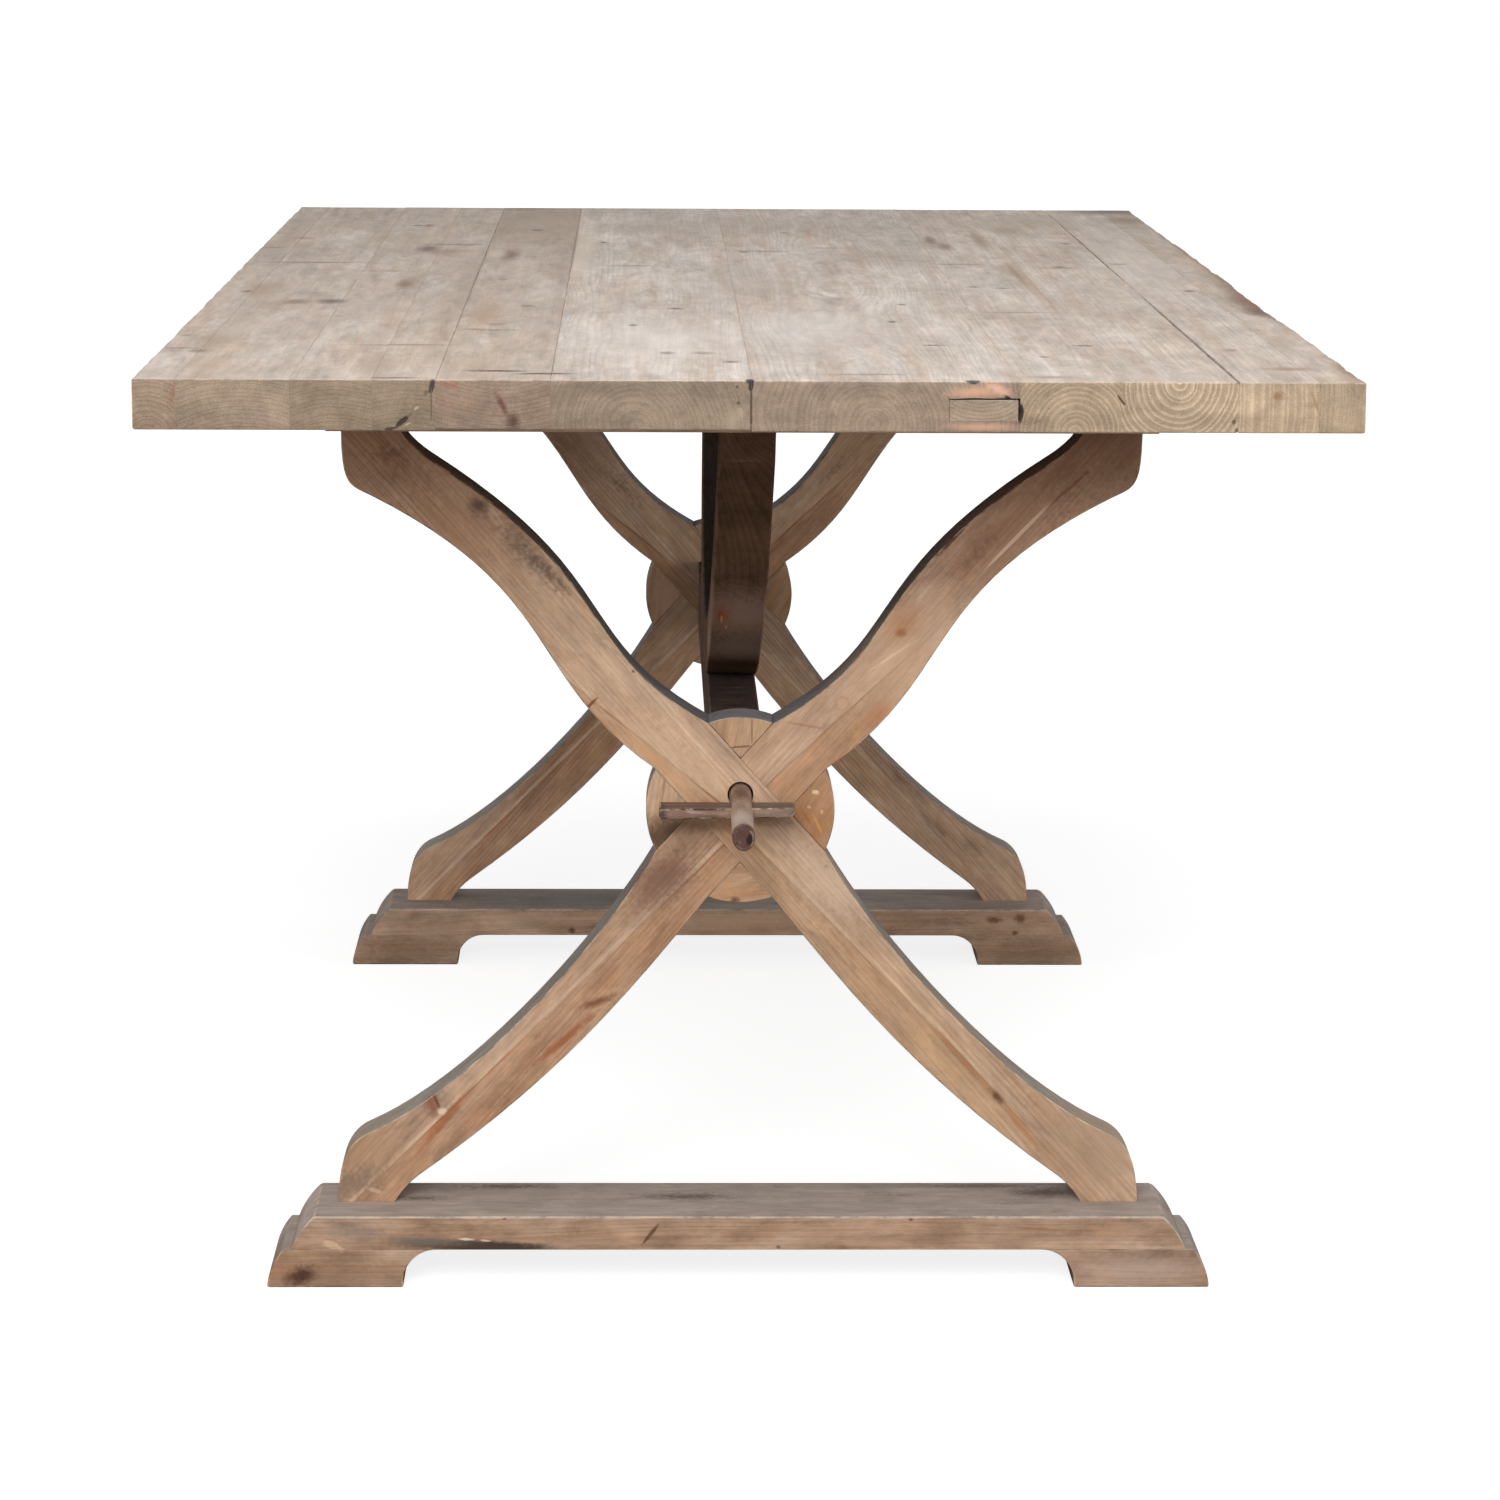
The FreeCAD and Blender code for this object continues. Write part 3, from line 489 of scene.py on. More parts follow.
topMarks = marksOf([
    ("deep", (-380, -268), (15, 34, 6), 0, "#7e6a5b"),
    ("deep", (-350, -262), (17, 34, 6), 0, "#3b2f28"),
    ("smudge", (-362, -262), (80, 80, 6), 0, "#8a7665"),
    ("deep", (-295, -80), (11, 64, 5), 0, "#523a2c"),
    ("tone", (-295, -60), (26, 130, 5), 0, "#9b8069"),
    ("deep", (-291, 332), (15, 60, 5), 0, "#452e22"),
    ("tone", (-268, 300), (26, 36, 5), 0, "#8c7462"),
    ("tone", (-280, 280), (24, 60, 5), 0, "#8f7561"),
    ("deep", (-209, 253), (13, 90, 5), 0, "#705442"),
    ("tone", (-222, 262), (14, 60, 5), 0, "#dccfc2"),
    ("deep", (211, 468), (8, 70, 5), 0, "#5f4c42"),
    ("deep", (221, 385), (10, 60, 5), 0, "#68554a"),
    ("tone", (214, 420), (26, 110, 5), 0, "#967f6e"),
    ("heart", (-304, 640), (8, 30, 5), 0),
    ("scratch", (-265, 385), (60, 18, 4), 0, "#655344"),
    ("scratch", (-89, 132), (46, 16, 4), 0),
    ("deep", (-392, 157), (62, 14, 4), 0, "#87766a"),
    ("scratch", (-440, -682), (34, 14, 4), 0),
    ("deep", (-268, -650), (56, 10, 4), 0, "#8a7464"),
    ("scratch", (-446, 336), (22, 16, 4), 0),
    ("scratch", (-422, 463), (18, 30, 4), 0),
    ("scratch", (40, 317), (50, 16, 4), 0, "#75655a"),
    ("scratch", (104, 358), (26, 14, 4), 0, "#75655a"),
    ("scratch", (222, 165), (44, 16, 4), 0, "#75655a"),
    ("scratch", (314, 124), (38, 14, 4), 0),
    ("scratch", (245, -344), (60, 14, 4), 0, "#8a7868"),
    ("scratch", (89, -865), (60, 12, 4), 0),
    ("scratch", (-315, 60), (60, 14, 4), 0, "#907b69"),
    ("scratch", (-205, -522), (44, 14, 4), 0),
    ("crack", (-191, -848), (30, 9, 4), 0, "#54433a"),
    ("crack", (-154, -868), (26, 9, 4), 0, "#5f4e43"),
    ("crack", (-265, -902), (24, 6, 4), 0, "#6a574a"),
    ("hole", (165, -911), (6, 5, 3), 0),
    ("deep", (225, -880), (26, 16, 4), 0, "#a08a76"),
    ("deep", (-419, -140), (24, 110, 6), 0, "#a18c79"),
    ("deep", (-420, -620), (24, 120, 6), 0, "#9d8874"),
    ("tone", (-412, -400), (26, 260, 6), 0, "#a18c7a"),
    ("tone", (-411, -827), (28, 90, 6), 0, "#a58f7b"),
    ("tone", (-287, -420), (18, 240, 6), 0, "#a38871"),
    ("deep", (-279, -800), (22, 130, 6), 0, "#a59180"),
    ("tone", (-209, -389), (26, 120, 6), 0, "#a48871"),
    ("tone", (-209, -790), (24, 90, 6), 0, "#a8937f"),
    ("tone", (-440, 520), (18, 300, 6), 0, "#9a8574"),
    ("tone", (-320, 480), (60, 160, 6), 0, "#a89684"),
    ("stain", (269, 0), (14, 420, 6), 0, "#94714f"),
    ("tone", (271, 0), (11, 560, 6), 0, "#a5876a"),
    ("deep", (300, 600), (26, 90, 6), 0, "#9a8672"),
    ("deep", (262, 470), (10, 130, 6), 0, "#8f7c6a"),
    ("deep", (268, 60), (5, 150, 6), 0, "#917c69"),
    ("deep", (412, -815), (26, 22, 6), 0, "#8d7460"),
    ("deep", (455, -190), (18, 380, 14), 0, "#684c39"),
    ("deep", (450, -240), (26, 150, 14), 0, "#73553f"),
    ("deep", (449, -330), (20, 60, 14), 0, "#5a3f2f"),
    ("deep", (458, -850), (16, 110, 14), 0, "#74553f"),
    ("deep", (458, 300), (9, 560, 14), 0, "#81644e"),
    ("deep", (436, 900), (76, 90, 14), 0, "#44362d"),
    ("deep", (440, 760), (30, 90, 14), 0, "#84705f"),
    ("smudge", (-223, 885), (80, 50, 6), 0, "#5a4a3e"),
    ("deep", (-190, 908), (60, 16, 6), 0, "#53443a"),
    ("streak", (-233, -20), (2.6, 640, 4), 0, "#94857a"),
    ("streak", (-148, 380), (2.4, 520, 4), 0, "#8a7869"),
    ("crack", (362, 360), (1.3, 480, 3), 0, "#97887c"),
    ("crack", (362, -640), (1.7, 620, 3), 0, "#7b6b60"),
    ("tone", (43, 668), (150, 170, 6), 0, "#9c8d81"),
    ("tone", (-83, 620), (90, 120, 6), 0, "#a29182"),
    ("tone", (330, 720), (110, 150, 6), 0, "#a29182"),
    ("tone", (20, -60), (90, 240, 6), 0, "#a99b90"),
    ("hole", (-0.5, -911), (3, 7, 2.5), 0),
], **onTopFace)
topMarks += marksOf([
    ("streak", (-427, 757), (2.2, 6, 11), 14, "#86583f"),
    ("crack", (-257, 737), (9, 6, 2.4), -41, "#241b16"),
    ("crack", (-266, 731), (6, 6, 1.6), -10, "#3a2d24"),
    ("fresh", (-247, 747), (3, 6, 1.6), -30, "#ad9a84"),
    ("fresh", (-254, 735), (5, 6, 1.4), -30, "#a8957f"),
    ("nick", (-240, 757), (2, 6, 4), 20, "#5f4d42"),
    ("crack", (-235.5, 763), (2.4, 6, 8), 12, "#2d221d"),
    ("crack", (-236, 750), (0.8, 6, 16), 0, "#695849"),
    ("stain", (-215, 752), (36, 6, 24), 0, "#a27c6b"),
    ("deep", (-184, 750), (14, 6, 3.2), 62, "#55302a"),
    ("deep", (-176, 737), (7, 6, 9), 0, "#40241f"),
    ("streak", (-222, 764), (10, 6, 2.4), 15, "#8c5646"),
    ("stain", (-327, 760), (16, 6, 7), 0, "#7f7050"),
    ("stain", (-300, 741), (46, 6, 9), 0, "#75644f"),
    ("stain", (-120, 760), (60, 6, 8), 0, "#7d6c5c"),
    ("nick", (-9, 751), (1.9, 6, 2.4), 0),
    ("nick", (-10, 763), (1.7, 6, 2.0), 0),
    ("tone", (-12, 740), (13, 6, 11), -35, "#a39480"),
    ("fresh", (-7, 745), (3, 6, 5), -20, "#9f907c"),
    ("hole", (0.5, 765), (1.5, 6, 5), 6),
    ("crack", (0.6, 748), (1.0, 6, 26), 0, "#4d3e33"),
    ("deep", (168, 760), (30, 6, 6.5), -4, "#c0937b"),
    ("deep", (184, 762), (15, 6, 5), 24, "#c99f89"),
    ("deep", (172, 734), (36, 6, 4), 0, "#b88f77"),
    ("hole", (195, 751), (9, 6, 2.4), 42),
    ("hole", (200, 745), (2.4, 6, 6), 0),
    ("crack", (200, 740), (1.8, 6, 5), 0),
    ("crack", (275, 754), (6.5, 6, 1.3), 52, "#4a392c"),
    ("heart", (391, 758), (8, 6, 5), 0, "#80593d"),
    ("nick", (359, 738), (2.4, 6, 2.8), 0),
    ("nick", (361, 732), (2.0, 6, 2.4), 0),
    ("streak", (419, 753), (1.6, 6, 12), -20, "#87694e"),
], axis=1, level=-topForm["halfLength"])
nicks = (
    (-431, -163), (-447, -576), (-426, -704), (-208, -29), (-180, -299), (-201, -470), (-218, -515),
    (-52, -319), (-88, -475), (-61, -707), (-33, -706), (-12, -775), (18, 307), (219, -88), (245, -101),
    (144, -272), (128, -436), (151, -637), (232, -727), (271, -637), (375, 174), (411, -125), (385, -668),
    (315, 136), (-189, 583), (-316, 640), (66, 560), (345, 430), (-120, 420),
)
# a nick's size and colour follow from its place, so that no two neighbours are alike
nickColours = ("#3f342c", "#5b4c41", "#776659", "#8b7a6c")
nickRows = [("nick", (x, y), (6 + x % 8, 9 + y % 13, 4), 0, nickColours[(3 * x + y) % 4]) for x, y in nicks]
topMarks += marksOf(nickRows, **onTopFace)
# the swirls on the seventh plank are where its rings pass buried knots
swirls = [
    {"at": (92, -583, 768), "size": (16, 80, 12), "turn": (0, 0, 0), "push": 11.0, "strength": 0.25},
    {"at": (93, 109, 768), "size": (13, 80, 12), "turn": (0, 0, 0), "push": 9.0, "strength": 0.2},
    {"at": (94, -280, 768), "size": (13, 70, 12), "turn": (0, 0, 0), "push": 9.0, "strength": 0.2},
]
lastPlank = len(planks) - 1
plankEdges = np.cumsum((0, *topForm["widths"])) - sum(topForm["widths"]) / 2


def buildPlank(index):
    # section: straight faces joined by quarter circles whose radius drifts along the plank;
    # near each end the whole section draws in along a quarter circle, which rounds the end arris
    left = plankEdges[index] + (topForm["gap"] if index else 0)
    right = plankEdges[index + 1] - (topForm["gap"] if index < lastPlank else 0)
    upper = topForm["upper"]
    lower = topForm["lower"] + topForm["thinner"].get(index, 0.0)
    nearEnd = -topForm["halfLength"]
    farEnd = topForm["halfLength"] - topForm["farShort"][index]
    first, second = topForm["firstStations"]
    inner = np.arange(nearEnd + second, farEnd - second, topForm["station"])
    quarter = np.linspace(0, np.pi / 2, 5)
    rounding = topForm["endArris"] * (1 - np.cos(quarter))
    y = np.concatenate([
        nearEnd + rounding, [nearEnd + first], inner, [farEnd - first], farEnd - rounding[::-1],
    ])
    toEnd = np.minimum(y - nearEnd, farEnd - y)
    reach = np.clip(1 - toEnd / topForm["endArris"], 0, 1)
    drawIn = topForm["endArris"] * (1 - np.sqrt(1 - reach ** 2))

    corners = ((1, 1), (-1, 1), (-1, -1), (1, -1))
    coarse, fine = topForm["arrisRuns"]
    arris = []
    for corner, (side, level) in enumerate(corners):
        outer = (side == -1 and index == 0) or (side == 1 and index == lastPlank)
        base = topForm["outerArris"] if outer else topForm["seamArris"][index if side == 1 else index - 1]
        drift = waviness(y, coarse, 100 * index + corner) ** 2
        drift += 0.6 * waviness(y, fine, 300 * index + corner) ** 3
        arris.append(base * (0.45 + 1.1 * drift))
    if index == lastPlank:
        for start, end, bite in topForm["bark"]:
            rise = np.clip((y - start) / topForm["barkIn"], 0, 1)
            rise *= np.clip((end - y) / topForm["barkIn"], 0, 1)
            arris[0] += bite * rise * (0.6 + 0.6 * waviness(y, topForm["barkRun"], 77))

    columns = []
    worn = []
    for corner, (side, level) in enumerate(corners):
        radius = arris[corner][:, None]
        sweep = quarter if corner % 2 == 0 else quarter[::-1]
        edgeX = right if side == 1 else left
        edgeZ = upper if level == 1 else lower
        roundX = edgeX - side * radius * (1 - np.cos(sweep))
        roundZ = edgeZ - level * radius * (1 - np.sin(sweep))
        columns.append((roundX, roundZ))
        worn.append(np.sin(sweep * 2) ** 0.5)
        nextRadius = arris[(corner + 1) % 4][:, None]
        if corner % 2 == 0:
            nextX = left if side == 1 else right
            count = max(3, int((right - left) / topForm["across"])) if corner == 0 else 3
            steps = np.linspace(0, 1, count)
            start = edgeX - side * (radius + topForm["shoulder"])
            finish = nextX + side * (nextRadius + topForm["shoulder"])
            x = start * (1 - steps) + finish * steps
            z = np.full_like(x, edgeZ)
        else:
            nextZ = lower if level == 1 else upper
            steps = np.linspace(0.1, 0.9, 3)
            z = (edgeZ - level * radius) * (1 - steps) + (nextZ + level * nextRadius) * steps
            x = np.full_like(z, edgeX)
        columns.append((x, z))
        worn.append(np.zeros(len(steps)))
    x = np.concatenate([c[0] for c in columns], 1)
    z = np.concatenate([c[1] for c in columns], 1)
    stations, around = x.shape

    # the sanded face dips a little between the seams
    runAlong, runAcross, fineRun = topForm["dipRuns"]
    dips = waviness(y, runAlong, 40 + index)[:, None] * waviness(x, runAcross, 60 + index)
    dips += 0.4 * waviness(y, fineRun, 50 + index)[:, None]
    z = z - np.where(z > upper - 0.01, topForm["undulation"] * np.clip(dips, 0, 1), 0)
    # only the outer sides of the top draw in, so that the seams stay flush at the ends
    middleX = (left + right) / 2
    middleZ = (upper + lower) / 2
    outside = (x < middleX) & (index == 0) | (x > middleX) & (index == lastPlank)
    halfWide = (right - left) / 2 - np.where(outside, drawIn[:, None], 0)
    halfHigh = np.where(z > middleZ, upper - middleZ, middleZ - lower) - drawIn[:, None]
    x = middleX + np.sign(x - middleX) * np.minimum(np.abs(x - middleX), halfWide)
    z = middleZ + np.sign(z - middleZ) * np.minimum(np.abs(z - middleZ), halfHigh)
    points = np.stack([x, np.broadcast_to(y[:, None], x.shape), z], 2).reshape(-1, 3) * mm

    along = np.arange(stations - 1)[:, None] * around
    ring = np.arange(around)[None, :]
    following = (ring + 1) % around
    quads = np.stack([along + ring, along + following, along + around + following, along + around + ring], 2)
    faces = quads.reshape(-1, 4).tolist()
    faces.append(list(range(around))[::-1])
    faces.append(list(range((stations - 1) * around, stations * around)))
    mesh = bpy.data.meshes.new(f"plank_{index + 1}")
    mesh.from_pydata(points.tolist(), [], faces)
    # the edge attribute says where an arris is rubbed: along the seams, and on the rims of the ends
    amount = np.broadcast_to(np.concatenate(worn), (stations, around)).copy()
    atEnd = (toEnd < topForm["endArris"] * 0.95)[:, None]
    onRim = (np.abs(z - middleZ) > (upper - lower) / 2 - topForm["endArris"] * 1.1) | outside
    amount = np.where(atEnd, np.where(onRim, 0.8, 0.0), amount)
    amount[[0, -1]] = 0.0
    mesh.attributes.new("edge", "FLOAT", "POINT").data.foreach_set("value", amount.astype(np.float32).ravel())
    mesh.set_sharp_from_angle(angle=math.radians(40))
    return mesh


def cutMortise(mesh, low, high):
    # takes an open-ended box out of the near end; its upper and right walls wander by a millimetre or so
    steps = np.linspace(0, 1, 13)
    grid = np.stack(np.meshgrid(steps, steps, indexing="ij"), 2)
    walls = [np.insert(grid, axis, level, axis=2).reshape(-1, 3) for axis in range(3) for level in (0, 1)]
    points = np.concatenate(walls) * (np.array(high) - np.array(low)) + np.array(low)
    for axis, spacing in zip((0, 2), topForm["mortiseRuns"]):
        middle = (low[axis] + high[axis]) / 2
        ragged = waviness(points[:, 2 - axis] + points[:, 1] * 0.4, spacing, 900 + axis)
        points[:, axis] += np.where(points[:, axis] > middle, ragged * topForm["mortiseRagged"], 0)
    n = len(steps)
    corner = (np.arange(n - 1)[:, None] * n + np.arange(n - 1)).ravel()
    quad = np.stack([corner, corner + n, corner + n + 1, corner + 1], 1)
    quads = np.concatenate([quad + k * n * n for k in range(6)])
    cutter = bpy.data.meshes.new("cutter")
    cutter.from_pydata((points * mm).tolist(), [], quads.tolist())
    shape = bmesh.new()
    shape.from_mesh(cutter)
    bmesh.ops.remove_doubles(shape, verts=shape.verts, dist=0.01 * mm)
    bmesh.ops.recalc_face_normals(shape, faces=shape.faces)
    shape.to_mesh(cutter)
    shape.free()
    tool = bpy.data.objects.new("tool", cutter)
    bpy.context.scene.collection.objects.link(tool)
    opened = modified(mesh, "BOOLEAN", {"operation": "DIFFERENCE", "object": tool, "solver": "EXACT"})
    bpy.data.objects.remove(tool)
    opened.set_sharp_from_angle(angle=math.radians(40))
    return opened


for index, ((pithX, pithZ), early, endEarly, endLate, changes) in enumerate(planks):
    mesh = buildPlank(index)
    if index == topForm["mortised"]:
        mesh = cutMortise(mesh, *topForm["mortise"])
    own = marksOf(plankTones.get(index, ()), **onTopFace)
    for mark in topMarks:
        if plankEdges[index] - mark["size"][0] < mark["at"][0] < plankEdges[index + 1] + mark["size"][0]:
            own.append(mark)
    colours = {"early": early, "endEarly": endEarly, "endLate": endLate}
    own = {"marks": own, "knots": swirls if index == topForm["mortised"] else ()}
    material = pineMaterial(f"reclaimedPinePlank{index + 1}", {**topLook, **colours, **changes, **own})
    woodFrame = {"pith": (pithX, 0, pithZ), "grain": (0, 1, 0), "depth": (0, 0, 1), "shift": index * 3.7}
    board = f"top_board_{index + 1}"
    finishPiece(mesh, f"plank_{index + 1}", woodFrame, material, "table", [board])
print("planks made")


# Everything cut from thicker stock: the node's own shape with its arrises rubbed down

def rubbedCopy(nodeName, form):
    # a welded copy, long edges divided, arrises rounded, then the rounded strips dented by smooth noise
    mesh = cadObjects[nodeName].data.copy()
    shape = bmesh.new()
    shape.from_mesh(mesh)
    bmesh.ops.remove_doubles(shape, verts=shape.verts, dist=0.02 * mm)
    if "slant" in form:
        # the outer end is hewn aslant, its upper side standing back
        reach = max(abs(vert.co.y) for vert in shape.verts)
        endVerts = [vert for vert in shape.verts if abs(vert.co.y) > reach - form["slantReach"] * mm]
        lowest = min(vert.co.z for vert in endVerts)
        for vert in endVerts:
            vert.co.y -= math.copysign(form["slant"] * (vert.co.z - lowest), vert.co.y)
    divisions = {}
    for edge in shape.edges:
        count = int(edge.calc_length() / (form["division"] * mm))
        if count and edge.is_manifold and edge.calc_face_angle() > math.radians(20):
            divisions.setdefault(min(count, 120), []).append(edge)
    for count, edges in divisions.items():
        bmesh.ops.subdivide_edges(shape, edges=edges, cuts=count, use_grid_fill=False)
    bmesh.ops.dissolve_limit(shape, angle_limit=math.radians(0.4), verts=[], edges=shape.edges[:])
    bmesh.ops.triangulate(shape, faces=shape.faces[:])
    weights = shape.edges.layers.float.new("bevel_weight_edge")
    for edge in shape.edges:
        if not edge.is_manifold or not edge.is_convex or edge.calc_face_angle() < math.radians(25):
            continue
        middle = (edge.verts[0].co + edge.verts[1].co) / 2 / mm
        # arrises die away towards the joints, so that nothing gapes there
        clear = [abs(middle.z - level) / form["seatReach"] for level in form.get("seats", ())]
        if "hub" in form:
            fromRim = math.hypot(middle.x, middle.z - form["hub"]) - form["hubRadius"]
            clear.append(fromRim / form["hubReach"])
        atJoint = form["jointArris"]
        edge[weights] = atJoint + (1 - atJoint) * min([1.0] + [max(c, 0.0) for c in clear])
    shape.to_mesh(mesh)
    shape.free()
    mesh.materials.clear()
    mesh.materials.append(None)
    mesh.materials.append(None)
    mesh = modified(mesh, "BEVEL", {
        "limit_method": "WEIGHT", "width": form["arris"] * mm, "segments": 3, "material": 1,
        "use_clamp_overlap": False, "miter_outer": "MITER_SHARP", "loop_slide": False,
    })

    # a point is on a rounded strip where all the faces around it are
    arrays = {}
    for part, items, width, kind in (
        ("vertex_index", mesh.loops, 1, np.int32),
        ("material_index", mesh.polygons, 1, np.int32),
        ("loop_total", mesh.polygons, 1, np.int32),
        ("co", mesh.vertices, 3, float),
        ("normal", mesh.vertices, 3, float),
    ):
        arrays[part] = np.empty(len(items) * width, kind)
        items.foreach_get(part, arrays[part])
    onStrip = np.ones(len(mesh.vertices))
    strips = np.repeat(arrays["material_index"], arrays["loop_total"]).astype(float)
    np.minimum.at(onStrip, arrays["vertex_index"], strips)
    coords = arrays["co"].reshape(-1, 3)
    # the run mixes all three axes, so that no arris lies still on it
    run = coords @ np.array([1.0, 0.83, 1.31]) / mm
    coarse, fine = form["dentRuns"]
    dents = waviness(run, coarse, form["seed"]) ** 3 + 0.5 * waviness(run, fine, form["seed"] + 1) ** 4
    coords -= arrays["normal"].reshape(-1, 3) * (onStrip * dents * form["dent"] * mm)[:, None]
    mesh.vertices.foreach_set("co", coords.ravel())
    mesh.polygons.foreach_set("material_index", np.zeros(len(mesh.polygons), np.int32))
    mesh.attributes.new("edge", "FLOAT", "POINT").data.foreach_set("value", onStrip.astype(np.float32))
    mesh.polygons.foreach_set("use_smooth", np.ones(len(mesh.polygons), bool))
    mesh.set_sharp_from_angle(angle=math.radians(35))
    mesh.update()
    return mesh


legLook = {
    "early": "#bb9d83", "late": "#947156",
    "warm": "#b08b66", "warmAmount": 0.5,
    "pale": "#c9ad93", "paleAmount": 0.7,
    "brown": "#8f6b50", "brownAmount": 1.0,
    "smudge": "#6d5545", "smudgeAmount": 0.85,
    "grey": "#94887f", "greyAmount": 0.14, "greyOnTop": 0.2,
    # the dust on upward faces darkens from the floor up to near black at the top: painted shade under the
    # tabletop
    "dustAndShade": (
        (90, "#a39a8e"), (180, "#8b847b"), (300, "#6f6b67"), (450, "#74767b"), (500, "#565555"),
        (560, "#3b3836"), (690, "#292524"),
    ),
    "dustAndShadeAmount": 0.9,
    "blotchScale": (5.0, 19.0, 19.0),
    "fibre": 0.11, "mottle": 1.5, "ringContrast": 0.42,
    "worn": "#d0b498",
    "gloss": 0.15,
}
footLook = {
    **legLook,
    "early": "#a98a71", "late": "#8c6a50", "warm": "#a67c5c", "pale": "#b79c86", "brown": "#84634b",
    "grey": "#968b84",
    "dustAndShade": ((0, "#a99d95"),), "dustAndShadeAmount": 0.8,
    "endEarly": "#8d6f57", "endLate": "#6f543f", "endStain": 0.5,
    "ringContrast": 0.36, "wander": 16.0,
    "grainAxis": (1, 0, 0),
    "blotchScale": (10.0, 24.0, 24.0),
}
# the stretcher and the braces are coloured darker: painted shade for their place deep under the table
shadeLook = {
    **legLook,
    "early": "#705441", "late": "#523a2b", "warm": "#644532", "pale": "#7c614c", "brown": "#4a3324",
    "grey": "#5f554e",
    "dustAndShade": ((0, "#3b3430"),),
    "endEarly": "#664e3c", "endLate": "#4a3628",
    "worn": "#84706a", "edgeWear": 0.4,
    "gloss": 0.03,
}
hubLook = {**legLook, "grainAxis": (0, 0, 1), "endEarly": "#b59070", "endLate": "#97704f"}

trestleY = {"near": -599.0, "far": 599.0}
hubZ = 388.0
jointLevels = {"foot": 32.0, "beam": 60.0, "rail": 698.0, "top": 730.0}      # heights where pieces meet
nearLegs = {"axis": 1, "level": -621.5}      # the faces that are seen
farLegs = {"axis": 1, "level": 576.5}
nearHub = {"axis": 1, "level": -620.5}
nearFoot = {"axis": 1, "level": -666.5}
farFoot = {"axis": 1, "level": 531.5}
footTop = {"axis": 2, "level": 60}
stretcherTop = {"axis": 2, "level": 423}

# what the seams share, in mm where it is a length; "at" is a point on the seam and "towards" points across it
seamLook = {
    "fade": (120, 230), "farAmount": 0.15, "armsMeet": (-2, 2), "tremble": 1.6,
    "strength": 0.6, "tintIn": 0.8,
    "ridge": 0.45, "ridgeAt": 2.6, "ridgeHalf": 3.2,
    "line": 0.75, "lineHalf": (0.4, 1.1), "lineColour": "#7a5233",
}
throughSeams = (
    {
        **seamLook, "arm": -1, "at": (-46, 0, 417), "towards": (-0.63, 0, -0.777), "tint": "#fbe2c4",
        "strength": 0.5, "ridge": 0.2,
    },
    {
        **seamLook, "arm": 1, "at": (63, 0, 305), "towards": (-0.717, 0, -0.697), "tint": "#f3ddb9",
        "strength": 0.4, "ridge": 0.5, "fade": (110, 260), "farAmount": 0.45,
        "line": 0.6, "lineColour": "#96683e",
    },
)
lappedSeams = (
    {
        **seamLook, "arm": 1, "at": (61, 0, 445), "towards": (0.68, 0, -0.733), "tint": "#f5dcbd",
        "strength": 0.5, "ridge": 0.15, "fade": (60, 150), "farAmount": 0.0,
    },
    {
        **seamLook, "arm": -1, "at": (-100, 0, 272), "towards": (0.704, 0, -0.71), "tint": "#f0d3b0",
        "strength": 0.35, "ridge": 0.6, "fade": (260, 420), "farAmount": 0.8,
        "line": 0.85, "lineColour": "#94572f",
    },
)
throughMarks = marksOf([
    # the next two rows are painted shade on the leg's upper end, under the tabletop
    ("deep", (-300, 700), (120, 60, 80), 0, "#7d543b", {"strength": 0.6}),
    ("tone", (-225, 620), (90, 60, 50), 42, "#8a6145"),
    ("tone", (-65, 440), (70, 9, 26), 42, "#c6a588", {"strength": 0.4}),
    ("deep", (-211, 636), (13, 9, 11), 20, "#503c33"),
    ("smudge", (-171, 596), (66, 9, 17), 47, "#5a4c44", {"strength": 0.7, "ragged": 1.2}),
    ("smudge", (-156, 584), (46, 9, 8), 47, "#4a3d36", {"strength": 0.6, "ragged": 1.2}),
    ("smudge", (-202, 596), (10, 9, 9), 0),
    ("smudge", (-132, 516), (17, 9, 12), 20, "#84705f"),
    ("nick", (-87, 502), (2, 6, 2), 0),
    ("stain", (-117, 479), (16, 9, 11), -40, "#8d5d3e"),
    ("crack", (-122, 474), (11, 6, 1.4), -46, "#6b4330"),
    ("streak", (-71, 431), (36, 7, 3), 44, "#c18d60"),
    # painted shadow on the leg's upper end
    ("smudge", (-283, 678), (30, 9, 22), 30, "#5a4036"),
    ("stain", (-60, 455), (60, 9, 18), 42, "#d8b393"),
    ("nick", (70, 341), (2.4, 6, 2.4), 0),
    ("smudge", (112, 275), (40, 9, 15), 46, "#93806f"),
    ("stain", (64, 291), (28, 9, 6), 43, "#cfa25f"),
    ("tone", (150, 222), (120, 60, 60), 45, "#d2b391", {"strength": 0.22}),
    ("tone", (74, 330), (60, 60, 44), 45, "#cdb49c", {"strength": 0.55}),
    ("tone", (300, 118), (60, 60, 60), 45, "#bca48e", {"strength": 0.5}),
    ("streak", (183, 180), (60, 7, 4), 48, "#8f6443", {"strength": 0.7}),
    ("deep", (290, 110), (60, 60, 60), 30, "#8f755c", {"strength": 0.5}),
    # the next two rows are painted shadow below the wedge
    ("deep", (16, 381), (34, 9, 9), 0, "#5f4837", {"strength": 0.7}),
    ("deep", (-40, 378), (50, 9, 12), 0, "#664c39", {"strength": 0.6}),
    ("stain", (150, 205), (46, 9, 9), 48, "#c09468"),
    ("deep", (212, 149), (10, 7, 4.4), 48, "#4c3122"),
    ("streak", (233, 122), (34, 7, 3.4), 52, "#a06c42"),
    ("smudge", (239, 145), (13, 9, 17), 20, "#7f6e60"),
    ("smudge", (287, 106), (20, 9, 26), 30, "#8a7058"),
], **nearLegs)
